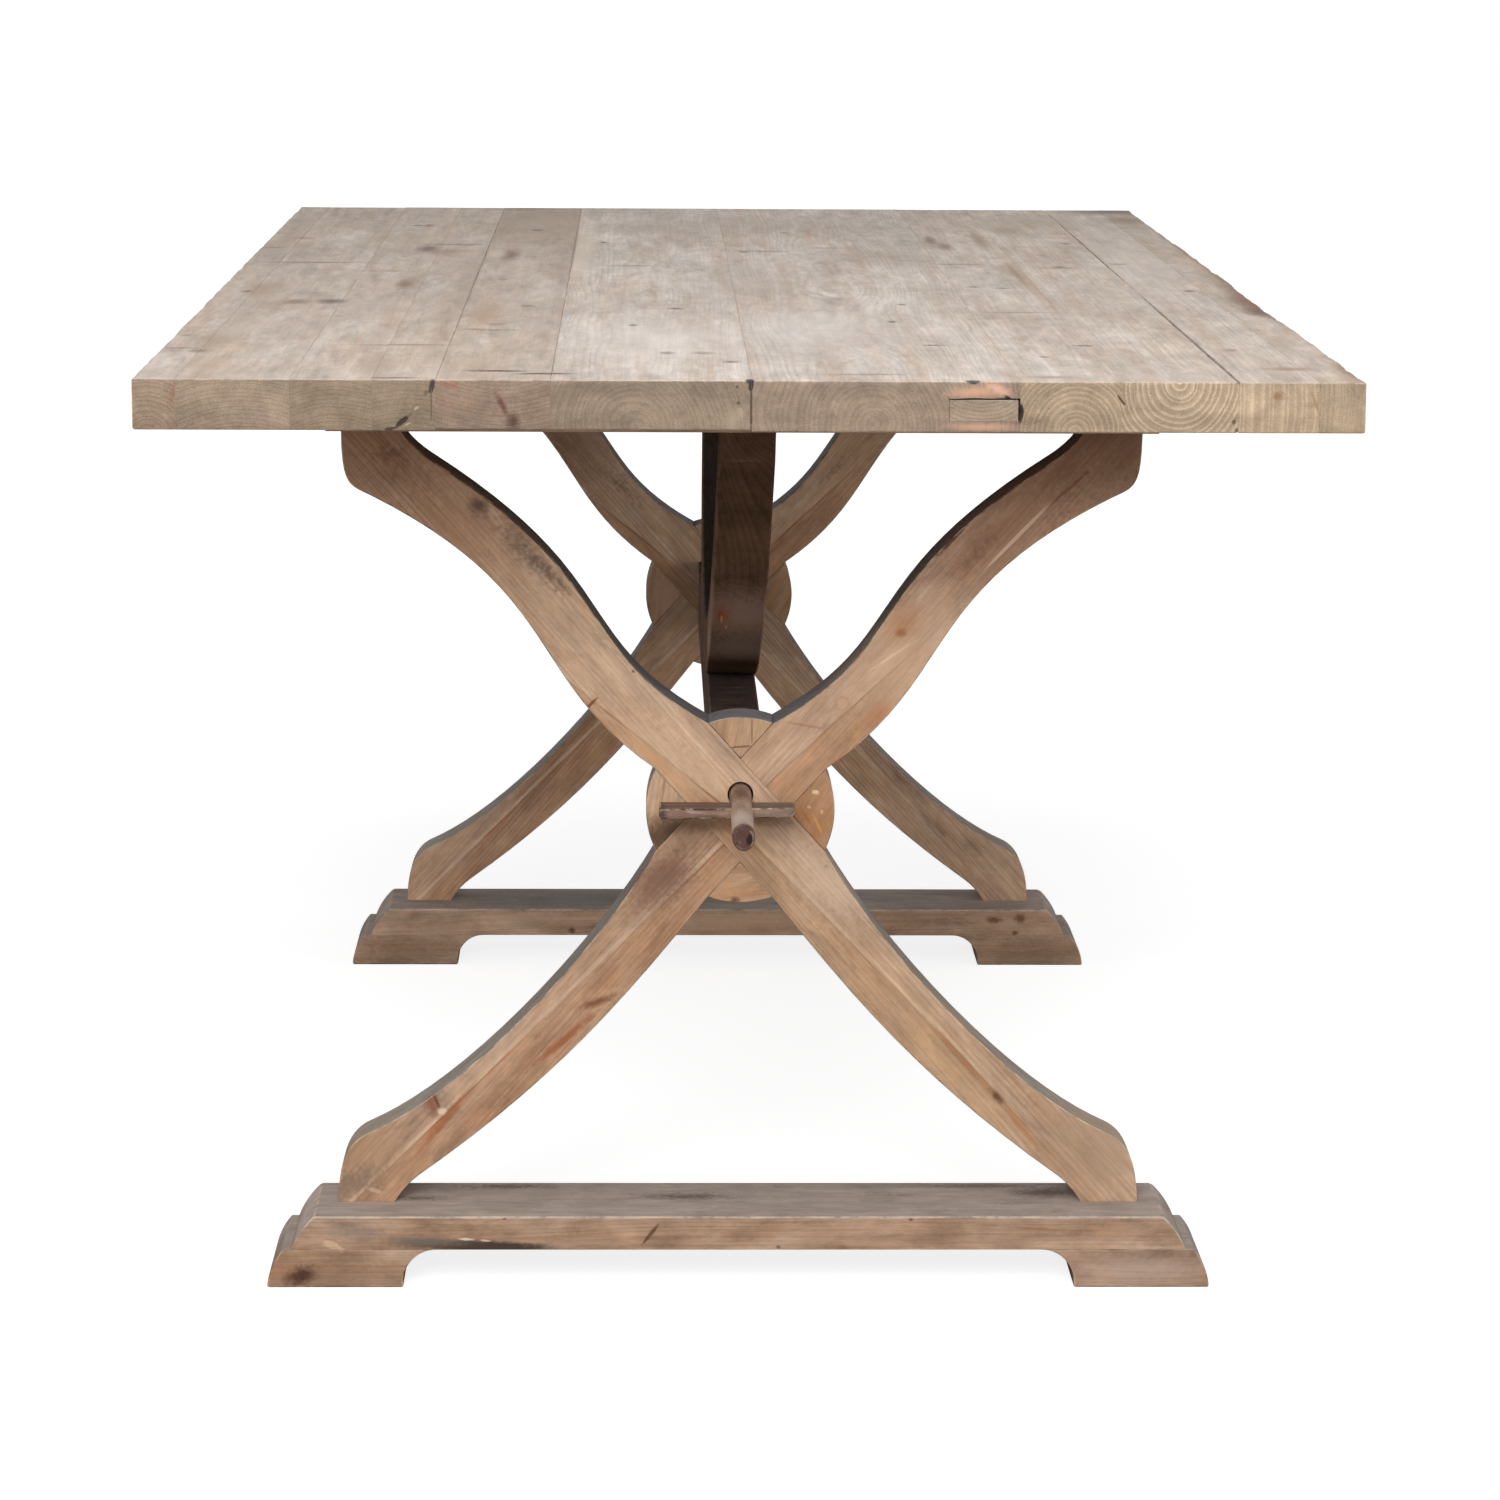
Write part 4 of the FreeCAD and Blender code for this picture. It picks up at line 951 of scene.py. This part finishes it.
throughMarks += marksOf([
    ("smudge", (118, 257), (44, 9, 13), 47, "#66584e"),
    ("nick", (102, 284), (4, 6, 4), 0),
    ("smudge", (-100, 500), (60, 9, 16), 47, "#4a352a"),
    # painted shade on the far leg's upper part, under the tabletop
    ("deep", (-150, 560), (110, 60, 80), 45, "#6b4a37", {"strength": 0.55}),
], **farLegs)
lappedMarks = marksOf([
    ("tone", (124, 505), (90, 60, 50), -44, "#c6a78b", {"strength": 0.4}),
    # the next two rows are painted shade on the leg's upper end, under the tabletop
    ("deep", (300, 700), (130, 60, 90), 0, "#65432f", {"strength": 0.7}),
    ("deep", (215, 625), (100, 60, 46), -44, "#85604a", {"strength": 0.5}),
    ("fresh", (223, 614), (38, 6, 1.6), -46, "#cdb09a", {"ragged": 0.4, "dent": False}),
    ("streak", (263, 652), (34, 6, 2.2), -41, "#6d3d2a"),
    ("stain", (256, 623), (60, 9, 17), -42, "#8a5538"),
    ("crack", (171, 612), (26, 6, 2.2), -48, "#55382a"),
    ("smudge", (190, 600), (60, 9, 20), -46, "#6d5040"),
    ("deep", (129, 534), (7, 7, 5), 0, "#7d4c30"),
    ("tone", (130, 542), (26, 9, 18), -40, "#a16b42"),
    ("smudge", (94, 512), (26, 9, 18), -40, "#a28770"),
    ("streak", (120, 514), (26, 7, 1.4), -34, "#d5b597"),
    ("crack", (82, 476), (6.2, 6, 6.2), 0, "#8a6347", {"ragged": 0.8, "soft": 0.6, "strength": 0.55}),
    ("fresh", (82, 476), (5.0, 7, 5.0), 0, "#b8957a", {"ragged": 0.6, "strength": 0.85, "dent": False}),
    ("tone", (111, 466), (22, 9, 13), -44, "#a0683f"),
    # the next row is painted shadow below the wedge
    ("deep", (-62, 332), (52, 60, 30), -44, "#69493b", {"strength": 0.8}),
    ("deep", (-310, 100), (70, 60, 50), 0, "#927558", {"strength": 0.45}),
    # the next two rows are painted shadow below the wedge
    ("deep", (16, 381), (34, 9, 9), 0, "#5f4837", {"strength": 0.7}),
    ("deep", (-40, 378), (50, 9, 12), 0, "#664c39", {"strength": 0.6}),
    ("stain", (92, 452), (36, 9, 12), -44, "#bf8f5c"),
    ("streak", (52, 458), (24, 7, 1.6), 10, "#8f6a4d"),
    ("smudge", (-61, 319), (30, 9, 24), -20, "#84695a"),
    ("deep", (-115, 229), (22, 7, 5), -22, "#6a3a26"),
    ("streak", (-143, 197), (46, 7, 4.4), -41, "#8a4d2f", {"strength": 0.75}),
    ("stain", (-105, 246), (26, 9, 14), -35, "#a9714a"),
    ("tone", (-248, 147), (34, 9, 22), 60, "#7b685b", {"strength": 0.7, "ragged": 1.0}),
    ("deep", (-252, 143), (15, 7, 8), 67, "#7d4f39"),
    ("fresh", (-243, 137), (5.5, 8, 5), 0, "#d9c2ac"),
    ("crack", (-248, 146), (11, 7, 1.6), 67, "#6b4230"),
    ("smudge", (-243, 152), (11, 9, 13), 60, "#8d7a6c"),
    ("deep", (-316, 76), (46, 9, 22), -20, "#6f5f53", {"strength": 0.75, "ragged": 1.1}),
    ("fresh", (-299, 70), (9, 7, 3), 20, "#bfa68d", {"strength": 0.5}),
    ("stain", (-214, 131), (32, 9, 13), -38, "#a8683f"),
    ("deep", (-242, 128), (50, 7, 5), -51, "#8a4f2f", {"strength": 0.7}),
    ("stain", (-180, 190), (80, 9, 15), -44, "#c19672"),
], **nearLegs)
lappedMarks += marksOf([
    ("smudge", (120, 520), (60, 9, 14), -44, "#5a4335"),
], **farLegs)
hubMarks = {
    "right": [
        ("fresh", (61, 403), (4.2, 6, 3), 20, "#e6cba9"),
        ("fresh", (56, 391), (2.6, 6, 2), 40, "#e0bf96"),
        ("fresh", (66, 387), (2.2, 6, 3), 0, "#e0bf96"),
        ("tone", (55, 380), (30, 8, 30), 0, "#936441", {"strength": 0.6}),
        ("smudge", (52, 408), (12, 8, 8), 0, "#8b7b70"),
        ("streak", (53, 383), (16, 7, 2.2), 58, "#8f5a30"),
        ("streak", (63, 376), (12, 7, 1.8), 66, "#c98d54"),
    ],
    "bottom": [
        ("heart", (-4, 313), (6.5, 8, 4.5), 0, "#52301f"),
        ("stain", (-9, 326), (13, 8, 17), 20, "#c98c52"),
        ("stain", (-4, 340), (20, 8, 10), 0, "#a86a4b"),
        ("smudge", (15, 324), (16, 8, 12), 0, "#8a7660"),
    ],
    "top": [
        ("crack", (0, 440), (13, 6, 1.0), -4, "#835d40"),
        ("crack", (9, 452), (0.9, 6, 13), 0, "#93704f"),
        ("stain", (18, 454), (10, 8, 12), 0, "#c99a68"),
        ("streak", (-2, 431), (10, 7, 1.2), 8, "#7a573d"),
    ],
    "left": [
        # the next two rows are painted shadow of the wedge on the near block; the third is painted light on
        # the far block
        ("deep", (-62, 364), (46, 60, 30), 0, "#4a3428", {"strength": 0.9}),
        ("smudge", (-68, 362), (14, 8, 12), 0, "#54392c"),
        ("deep", (-56, 576.5, 385), (36, 60, 44), 0, "#c9a58c", {"strength": 0.7}),
        ("streak", (-62, 408), (1.8, 7, 20), 8, "#8f6a4c"),
    ],
}
hubMarks = {side: marksOf(rows, **nearHub) for side, rows in hubMarks.items()}
footMarks = marksOf([
    ("deep", (-312, 46), (44, 9, 14), 0, "#7c7068", {"strength": 0.6, "ragged": 1.2}),
    ("fresh", (-330, 36), (14, 7, 5), 25, "#c6a98b"),
    ("deep", (-210, 35), (70, 9, 5.5), 2, "#2e2622", {"strength": 0.9, "ragged": 0.5, "soft": 0.7}),
    ("deep", (-256, 39), (46, 9, 6), 2, "#6c6259"),
    ("fresh", (-222, 41), (9, 7, 1.6), 3, "#dccdb9"),
    ("fresh", (-207, 40), (6, 7, 1.4), 5, "#d2bfa8"),
    ("tone", (-169, 55), (20, 9, 11), 0, "#7b6a5c", {"ragged": 1.1}),
    ("tone", (-132, 50), (24, 9, 12), -20, "#75583f", {"ragged": 1.1}),
    ("smudge", (-285, 40), (26, 9, 8), 0, "#82705f"),
    ("crack", (-72, 45), (15, 7, 1.8), -51, "#5f4230"),
    ("tone", (-60, 54), (16, 9, 8), 0, "#75634f", {"ragged": 1.1}),
    ("nick", (-191, 58), (3, 6, 1.6), 0),
    ("deep", (-335, 12), (100, 60, 28), 0, "#7d5f49", {"strength": 0.5}),
    ("deep", (-374, 14), (16, 9, 12), 0, "#a3755a", {"strength": 0.5}),
    ("deep", (-357, 10), (19, 8, 12), -20, "#3f2219", {"strength": 0.9}),
    ("smudge", (-314, 23), (60, 9, 7), 0, "#7e6d5f"),
    ("nick", (140, 57), (3, 6, 1.6), 0),
    ("nick", (32, 34), (3, 6, 2), 0),
    ("streak", (238, 50), (30, 7, 1.6), 3, "#7d5a42"),
    ("stain", (300, 46), (60, 9, 14), 0, "#b08a6b"),
    ("tone", (330, 14), (80, 9, 20), 0, "#a9978b", {"strength": 0.6}),
], **nearFoot)
footMarks += marksOf([
    # the next three rows are painted shadows of the legs on the beam's top
    ("deep", (256, -592), (46, 26, 6), 0, "#41342d", {"ragged": 1.0}),
    ("deep", (200, -572), (90, 14, 6), 0, "#60524a", {"ragged": 1.0}),
    ("deep", (-193, -574), (80, 16, 5), 0, "#4b3c33", {"ragged": 1.2}),
    ("deep", (-38, -604), (76, 20, 5), 0, "#534339", {"ragged": 1.2}),
    ("deep", (-262, -610), (40, 13, 5), 0, "#4b3f37", {"ragged": 1.2}),
    ("smudge", (120, -600), (60, 14, 5), 0, "#6f5d50"),
    ("smudge", (30, -575), (70, 12, 5), 0, "#75675c"),
    ("smudge", (220, -626), (44, 12, 5), 0, "#6f5d50"),
], **footTop)
footMarks += marksOf([
    ("stain", (-154, 54), (18, 9, 12), 0, "#7a4a34"),
    ("heart", (-154, 37), (6, 8, 5), 0, "#3a2419"),
    ("heart", (291, 49), (14, 8, 6), 0, "#5a3526"),
    ("heart", (318, 50), (10, 8, 8), 0, "#5f3728"),
    ("heart", (313, 35), (5, 8, 4), 0, "#4a2b1f"),
    ("stain", (-358, 39), (16, 9, 12), 0, "#8f5d3c"),
    ("deep", (335, 10), (90, 60, 30), 0, "#62503f", {"strength": 0.55}),
    ("deep", (-320, 10), (80, 60, 30), 0, "#65503f", {"strength": 0.6}),
    # painted shade on the far beam's top, then painted light on its front
    ("deep", (-125, 583, 60), (200, 80, 6), 0, "#4d453f", {"strength": 0.7}),
    ("tone", (40, 48), (200, 9, 16), 0, "#c3a184"),
], **farFoot)
wedgeMarks = marksOf([
    ("tone", (-45, -678, 396), (34, 40, 9), 0, "#74594f", {"strength": 0.65}),
    ("tone", (28, -678, 396), (28, 40, 9), 0, "#75675a", {"strength": 0.7}),
    ("deep", (-65, -678, 396), (8, 40, 9), 0, "#332a26"),
    ("deep", (-24, -678, 392), (20, 10, 4), 0, "#2b2421", {"ragged": 1.1}),
    ("fresh", (-38, -678.5, 397), (12, 8, 1.8), 4, "#a4938a", {"dent": False}),
    ("crack", (-30, -678.5, 399), (40, 8, 0.8), 1, "#3a2e28"),
    ("smudge", (41, -678, 396), (10, 40, 8), 0, "#3f362f", {"strength": 0.8}),
    ("crack", (22, -678.5, 394), (24, 6, 1.0), -2, "#3a302a"),
])
pegMarks = marksOf([
    ("deep", (0, -764, 393), (22, 11, 22), (-42, 0, 0), "#4c332d", {"strength": 0.96, "soft": 0.35}),
    ("smudge", (-3, -767, 388), (9, 8, 13), (-42, 0, 0), "#776469"),
    ("crack", (5, -765, 393), (3.6, 6, 7), (-42, 12, 0), "#1b1416"),
    ("crack", (-6, -768, 386), (2, 5, 8), (-42, -15, 0), "#261c1c"),
    ("crack", (0, -757, 402), (7, 5, 2.4), (-42, 0, 0), "#3d211d"),
    # a lighter top: painted highlight where the light falls on the peg
    ("deep", (-2, -728, 405), (15, 34, 14), 0, "#ccbcb2"),
    ("deep", (0, -646, 408), (18, 34, 14), 0, "#664c40"),
])
braceMarks = marksOf([
    # painted light on the lower part of the brace's face, and painted shade at its lower end, where the face
    # turns down
    ("tone", (4, -370, 512), (60, 90, 60), 0, "#a5887a", {"strength": 0.75}),
    ("tone", (4, -290, 470), (60, 70, 40), 0, "#9a877c", {"strength": 0.7}),
    ("deep", (4, -236, 445), (60, 26, 20), 0, "#43332a", {"strength": 0.7}),
    ("deep", (-13, -372, 510), (9, 52, 40), 0, "#8b4526", {"ragged": 1.3}),
    ("smudge", (-8, -372, 510), (18, 60, 44), 0, "#9a5330", {"strength": 0.8}),
    ("fresh", (-12, -366, 508), (1.6, 12, 12), 0, "#dca268"),
    ("fresh", (-8, -350, 498), (1.4, 7, 8), 0, "#d0925a"),
    # painted light on the left side face, which the lamps leave dark; the pale line along its arris is partly
    # rubbed wood and partly painted highlight
    ("deep", (-26, -520, 620), (6, 200, 160), 0, "#925e48", {"strength": 0.8}),
    ("deep", (-24, -400, 540), (3.5, 150, 90), 0, "#9c8884", {"strength": 0.6, "ragged": 1.0}),
    ("deep", (-25, -290, 476), (5, 130, 46), 0, "#b09c99", {"strength": 0.8}),
])
stretcherMarks = marksOf([
    ("deep", (-4, -214), (17, 7, 5), 0, "#231b1a", {"ragged": 1.0}),
    ("deep", (6, -226), (15, 4, 5), 0, "#7d6b64", {"ragged": 1.1}),
    ("deep", (-8, -238), (12, 6, 5), 0, "#2a2120", {"ragged": 1.0}),
    ("deep", (3, -252), (19, 4, 5), 0, "#75635c", {"ragged": 1.1}),
    ("deep", (8, -270), (14, 7, 5), 0, "#2c2322", {"ragged": 1.0}),
    ("deep", (-6, -290), (17, 5, 5), 0, "#6b5a54", {"ragged": 1.1}),
    ("deep", (2, -320), (18, 9, 5), 0, "#2c2322", {"ragged": 1.0}),
], **stretcherTop)

# all of it is sawn pine, matt and a little dusty; what differs is how each piece was cut and has aged, and
# where shade and light are painted into its colour
materials = {}
for key, name, base, changes in (
    ("throughLegs", "sawnPineThroughLegs", legLook, {
        "fibre": 0.14, "ringContrast": 0.7, "grainAxis": (-0.66, 0, 0.75),
        "seams": throughSeams, "marks": throughMarks,
    }),
    ("lappedLegs", "sawnPineLappedLegs", legLook, {
        "early": "#b6957b", "late": "#906a4e", "brown": "#8a6248", "grainAxis": (0.66, 0, 0.75),
        "seams": lappedSeams, "marks": lappedMarks,
    }),
    ("topBlocks", "sawnPineTopBlocks", hubLook, {
        "early": "#b08f72", "late": "#977455", "dustAndShade": ((0, "#8d9094"),), "marks": hubMarks["top"],
    }),
    ("rightBlocks", "sawnPineRightBlocks", hubLook, {
        "early": "#a88465", "late": "#8d6541", "warm": "#b9803f", "marks": hubMarks["right"],
    }),
    ("bottomBlocks", "sawnPineBottomBlocks", hubLook, {
        "early": "#bd9778", "late": "#9b7053", "warm": "#c08a5b", "marks": hubMarks["bottom"],
    }),
    ("leftBlocks", "sawnPineLeftBlocks", hubLook, {
        "early": "#bd9a7c", "late": "#9b7453", "marks": hubMarks["left"],
    }),
    ("feet", "sawnPineFeet", footLook, {"marks": footMarks}),
    ("rails", "sawnPineRails", legLook, {"grainAxis": (1, 0, 0)}),
    # darker still, with almost black late wood, as painted shade under the table
    ("stretcher", "sawnPineStretcher", shadeLook, {
        "early": "#64524b", "late": "#3a2d2b", "brown": "#352825", "ringContrast": 0.8,
        "dustAndShade": ((0, "#4c403c"),), "dustAndShadeAmount": 0.75, "marks": stretcherMarks,
    }),
    ("braces", "sawnPineBraces", shadeLook, {"grainAxis": (0, 0.8, 0.6), "marks": braceMarks}),
    # whittled round and greyed by hands, with a dark broken end
    ("pegs", "whittledPinePegs", legLook, {
        "early": "#c6a793", "late": "#94776a", "brown": "#8a6857", "dustAndShadeAmount": 0.0,
        "endEarly": "#5e443c", "endLate": "#3c2a26", "endStain": 0.6, "edgeWear": 0.25, "marks": pegMarks,
    }),
    # split along the grain: dark with pale torn fibres
    ("wedges", "splitPineWedges", legLook, {
        "early": "#7a5f4e", "late": "#513b2f", "warm": "#68493a", "pale": "#a8907f", "paleAmount": 0.9,
        "brown": "#4a352a", "brownAmount": 0.9, "dustAndShadeAmount": 0.0, "grainAxis": (1, 0, 0),
        "blotchScale": (14.0, 110.0, 110.0), "marks": wedgeMarks, "edgeWear": 0.9,
    }),
    ("patch", "endBlockPine", topLook, {"endEarly": "#9c8a78", "endLate": "#85725f", "edgeWear": 0.0}),
):
    materials[key] = pineMaterial(name, {**base, **changes})

# how a piece is cut unless it says otherwise
stock = {
    "division": 14.0,          # mm between points along an edge
    "arris": 1.3,              # mm, radius to which arrises are rubbed
    "jointArris": 0.22,        # share of it that is left at a joint
    "seatReach": 22.0,         # mm from a joint to where it is whole again
    "hubRadius": 76.0,         # mm
    "hubReach": 50.0,          # the same from the rim of the hub
    "dent": 0.5,               # mm that the arrises are dented
    "dentRuns": (23, 7),       # mm between dents, coarse and fine
    "grain": (1, 0, 0), "depth": (0, -1, 0), "body": "table",
}
cutPieces = {}
for place, outward in (("near", -1), ("far", 1)):
    y = trestleY[place]
    for leg, side in (("through", -1), ("lapped", 1)):
        cutPieces[f"{place}_{leg}_leg"] = {
            "material": f"{leg}Legs", "slot": "legs", "grain": (side * 0.66, 0, 0.75),
            "pith": (-62 * side, y + 42, hubZ + 56), "hub": hubZ,
            "seats": (jointLevels["beam"], jointLevels["rail"]),
        }
    for side, pith, grain in (
        ("top", (-10, y, hubZ + 40), (0.2, 0, 1)), ("bottom", (5, y + 20, hubZ - 60), (1, 0, 0.1)),
        ("left", (-50, y + 25, hubZ), (0.15, 0, 1)), ("right", (60, y + 30, hubZ + 4), (0.6, 0, 1)),
    ):
        cutPieces[f"{place}_hub_block_{side}"] = {
            "material": f"{side}Blocks", "slot": "legs", "grain": grain, "pith": pith, "arris": 0.7,
        }
    feet = {"material": "feet", "slot": "feet", "arris": 1.8, "seats": (jointLevels["foot"],)}
    cutPieces[f"{place}_foot_beam"] = {**feet, "grain": (1, 0, 0.01), "pith": (0, y - 20, 8)}
    for side, x in (("left", -315), ("right", 315)):
        cutPieces[f"{place}_foot_pad_{side}"] = {**feet, "pith": (x, y - 30, 40)}
    cutPieces[f"{place}_top_rail"] = {
        "material": "rails", "slot": "rails", "depth": (0, 0, 1), "pith": (0, y + 10, 640),
        "seats": (jointLevels["rail"], jointLevels["top"]),
    }
    cutPieces[f"{place}_brace"] = {
        "material": "braces", "slot": "braces", "grain": (0, outward * 0.8, 0.6), "depth": (1, 0, 0),
        "pith": (40, outward * 350, 560), "arris": 1.8,
    }
    cutPieces[f"{place}_peg"] = {
        "material": "pegs", "slot": "pegs", "grain": (0, 1, 0), "depth": (0, 0, 1), "pith": (3, y, 380),
        "arris": 1.0, "division": 5.0, "dent": 0.9, "slant": 0.9, "slantReach": 3.5,
    }
    cutPieces[f"{place}_wedge"] = {
        "material": "wedges", "slot": "wedges", "depth": (0, 0, 1), "pith": (0, y + 10, 378),
        "arris": 1.5, "division": 5.0, "dent": 1.5, "body": f"{place}_wedge",
    }
lengthwise = {"grain": (0, 1, 0), "depth": (0, 0, 1)}
cutPieces["stretcher"] = {
    **lengthwise, "material": "stretcher", "slot": "stretcher", "pith": (6, 0, 350), "arris": 1.8,
}
cutPieces["end_patch"] = {
    **lengthwise, "material": "patch", "slot": "patch", "pith": (172, 0, 790), "arris": 0.25,
}
firstSeed = 11
for seed, (name, cut) in enumerate(cutPieces.items(), firstSeed):
    cut = {**stock, **cut, "seed": seed, "shift": seed * 2.3}
    mesh = rubbedCopy(name, cut)
    piece = finishPiece(
        mesh, name.replace("_", "-") + "-wood", cut, materials[cut["material"]],
        cut["body"], [name],
    )
    weighted = piece.modifiers.new("flat faces stay flat", "WEIGHTED_NORMAL")
    weighted.keep_sharp = True
    weighted.weight = 100
print("cut pieces made")


# Hidden fasteners keep their own solids

# zinc-plated steel, rolled and dull: a grey metal whose gloss is a little uneven
steel = bpy.data.materials.new("zincPlatedSteelScrew")
add = partial(addNode, emptyTree(steel))
uneven = add("TexNoise", {}, {"Vector": add("TexCoord", {}, {}, "Object"), "Scale": 400.0, "Detail": 3.0})
roughness = add("MapRange", {}, {0: uneven, 3: 0.3, 4: 0.5})
metal = {"Base Color": linearColour("#b9b7b1"), "Metallic": 1.0, "Roughness": roughness}
add("OutputMaterial", {}, {"Surface": add("BsdfPrincipled", {}, metal)})

# turned beech: pale, smooth, with short fine streaks along the dowel
dowel = bpy.data.materials.new("turnedBeechDowel")
add = partial(addNode, emptyTree(dowel))
stretched = add("VectorMath", "MULTIPLY", {0: add("TexCoord", {}, {}, "Object"), 1: (900, 900, 60)})
grain = add("TexNoise", {}, {"Vector": stretched, "Scale": 1.0, "Detail": 3.0})
shades = {6: linearColour("#cdae8c"), 7: linearColour("#b08d69")}
colour = add("Mix", ofColours, {0: grain, **shades}, 2)
bump = add("Bump", {}, {"Height": grain, "Distance": 0.1 * mm})
beech = {"Base Color": colour, "Normal": bump, "Roughness": 0.5}
add("OutputMaterial", {}, {"Surface": add("BsdfPrincipled", {}, beech)})

for name, material in (("rail_screws", steel), ("brace_screws", steel), ("pad_dowels", dowel)):
    cadObjects[name].data.materials.clear()
    cadObjects[name].data.materials.append(material)


# Floor, light and camera

studio = {
    "floorBounce": "#6b5d51",
    "floorShade": "#a8a8a8",
    "floorGlow": (0.82, 1.0),  # white of the floor before the lamps add to it, here and far off
    "glowReach": (0.9, 3.2),   # metres from the middle between which that changes
    "ambient": 0.22,
    # name, watts, side and place in metres, and the place it looks at
    "lamps": (
        ("frontSoftbox", 205.0, 2.0, (-0.5, -5.2, 2.75), (0, -0.4, 0.5)),
        ("overheadSoftbox", 47.0, 2.2, (0.1, -1.5, 3.3), (0, -0.2, 0.7)),
        ("lowFill", 52.0, 1.6, (0.3, -5.6, 0.85), (0, 0.3, 0.4)),
        ("leftFill", 19.0, 1.2, (-2.6, -1.1, 0.7), (0, 0.6, 0.4)),
        ("rightFill", 24.0, 1.2, (2.6, -1.1, 0.7), (0, 0.6, 0.4)),
    ),
}
bpy.ops.mesh.primitive_plane_add(size=40, location=(0, 0, 0))
floor = bpy.context.object
floor.name = "studio_floor"
# painted floor, matt: white to the camera, and a brown bounce under the table
floorMaterial = bpy.data.materials.new("paintedPaleFloor")
floor.data.materials.append(floorMaterial)
add = partial(addNode, emptyTree(floorMaterial))
seen = add("LightPath", {}, {}, "Is Camera Ray")
shades = {6: linearColour(studio["floorBounce"]), 7: linearColour(studio["floorShade"])}
paint = add("BsdfDiffuse", {}, {"Color": add("Mix", ofColours, {0: seen, **shades}, 2)})
away = add("VectorMath", "LENGTH", {0: add("TexCoord", {}, {}, "Object")}, "Value")
(start, end), (here, farOff) = studio["glowReach"], studio["floorGlow"]
whiteness = add("MapRange", smoothStep, {0: away, 1: start, 2: end, 3: here, 4: farOff})
glowing = add("Emission", {}, {"Strength": add("Math", "MULTIPLY", {0: seen, 1: whiteness})})
add("OutputMaterial", {}, {"Surface": add("AddShader", {}, {0: paint, 1: glowing})})

# white to the camera and in gloss, dimmer as a light
world = bpy.data.worlds.new("studio")
bpy.context.scene.world = world
add = partial(addNode, emptyTree(world))
rays = add("LightPath").node.outputs
bright = add("Math", "MAXIMUM", {0: rays["Is Camera Ray"], 1: rays["Is Glossy Ray"]})
bright = add("Math", "MAXIMUM", {0: bright, 1: rays["Is Transmission Ray"]})
strength = add("MapRange", {}, {0: bright, 3: studio["ambient"], 4: 1.0})
add("OutputWorld", {}, {"Surface": add("Background", {}, {"Color": (1, 1, 1, 1), "Strength": strength})})

for name, power, size, spot, aim in studio["lamps"]:
    lamp = bpy.data.lights.new(name, "AREA")
    lamp.shape = "SQUARE"
    lamp.size = size
    lamp.energy = power
    holder = bpy.data.objects.new(name, lamp)
    holder.location = spot
    holder.rotation_euler = (Vector(aim) - holder.location).to_track_quat("-Z", "Y").to_euler()
    bpy.context.scene.collection.objects.link(holder)

view = {
    "focal": 118.886,          # mm, on a sensor 36 mm wide
    "place": (-0.07837, -4.56696, 1.14755),
    "pitchDown": 0.17796,      # this and the next two in radians
    "yawRight": 0.02176,
    "roll": 0.00581,
}
pitch, yaw, roll = view["pitchDown"], view["yawRight"], view["roll"]
forward = Vector((math.sin(yaw) * math.cos(pitch), math.cos(yaw) * math.cos(pitch), -math.sin(pitch)))
right = Vector((math.cos(yaw), -math.sin(yaw), 0))
up = right.cross(forward)
rolledRight = right * math.cos(roll) + up * math.sin(roll)
rolledUp = up * math.cos(roll) - right * math.sin(roll)
lens = bpy.data.cameras.new("view")
lens.sensor_width = 36
lens.lens = view["focal"]
camera = bpy.data.objects.new("view", lens)
turned = Matrix((rolledRight, rolledUp, -forward)).transposed().to_4x4()
camera.matrix_world = Matrix.Translation(view["place"]) @ turned
bpy.context.scene.collection.objects.link(camera)
bpy.context.scene.camera = camera

bpy.context.scene.view_settings.view_transform = "Standard"

print("scene ready")
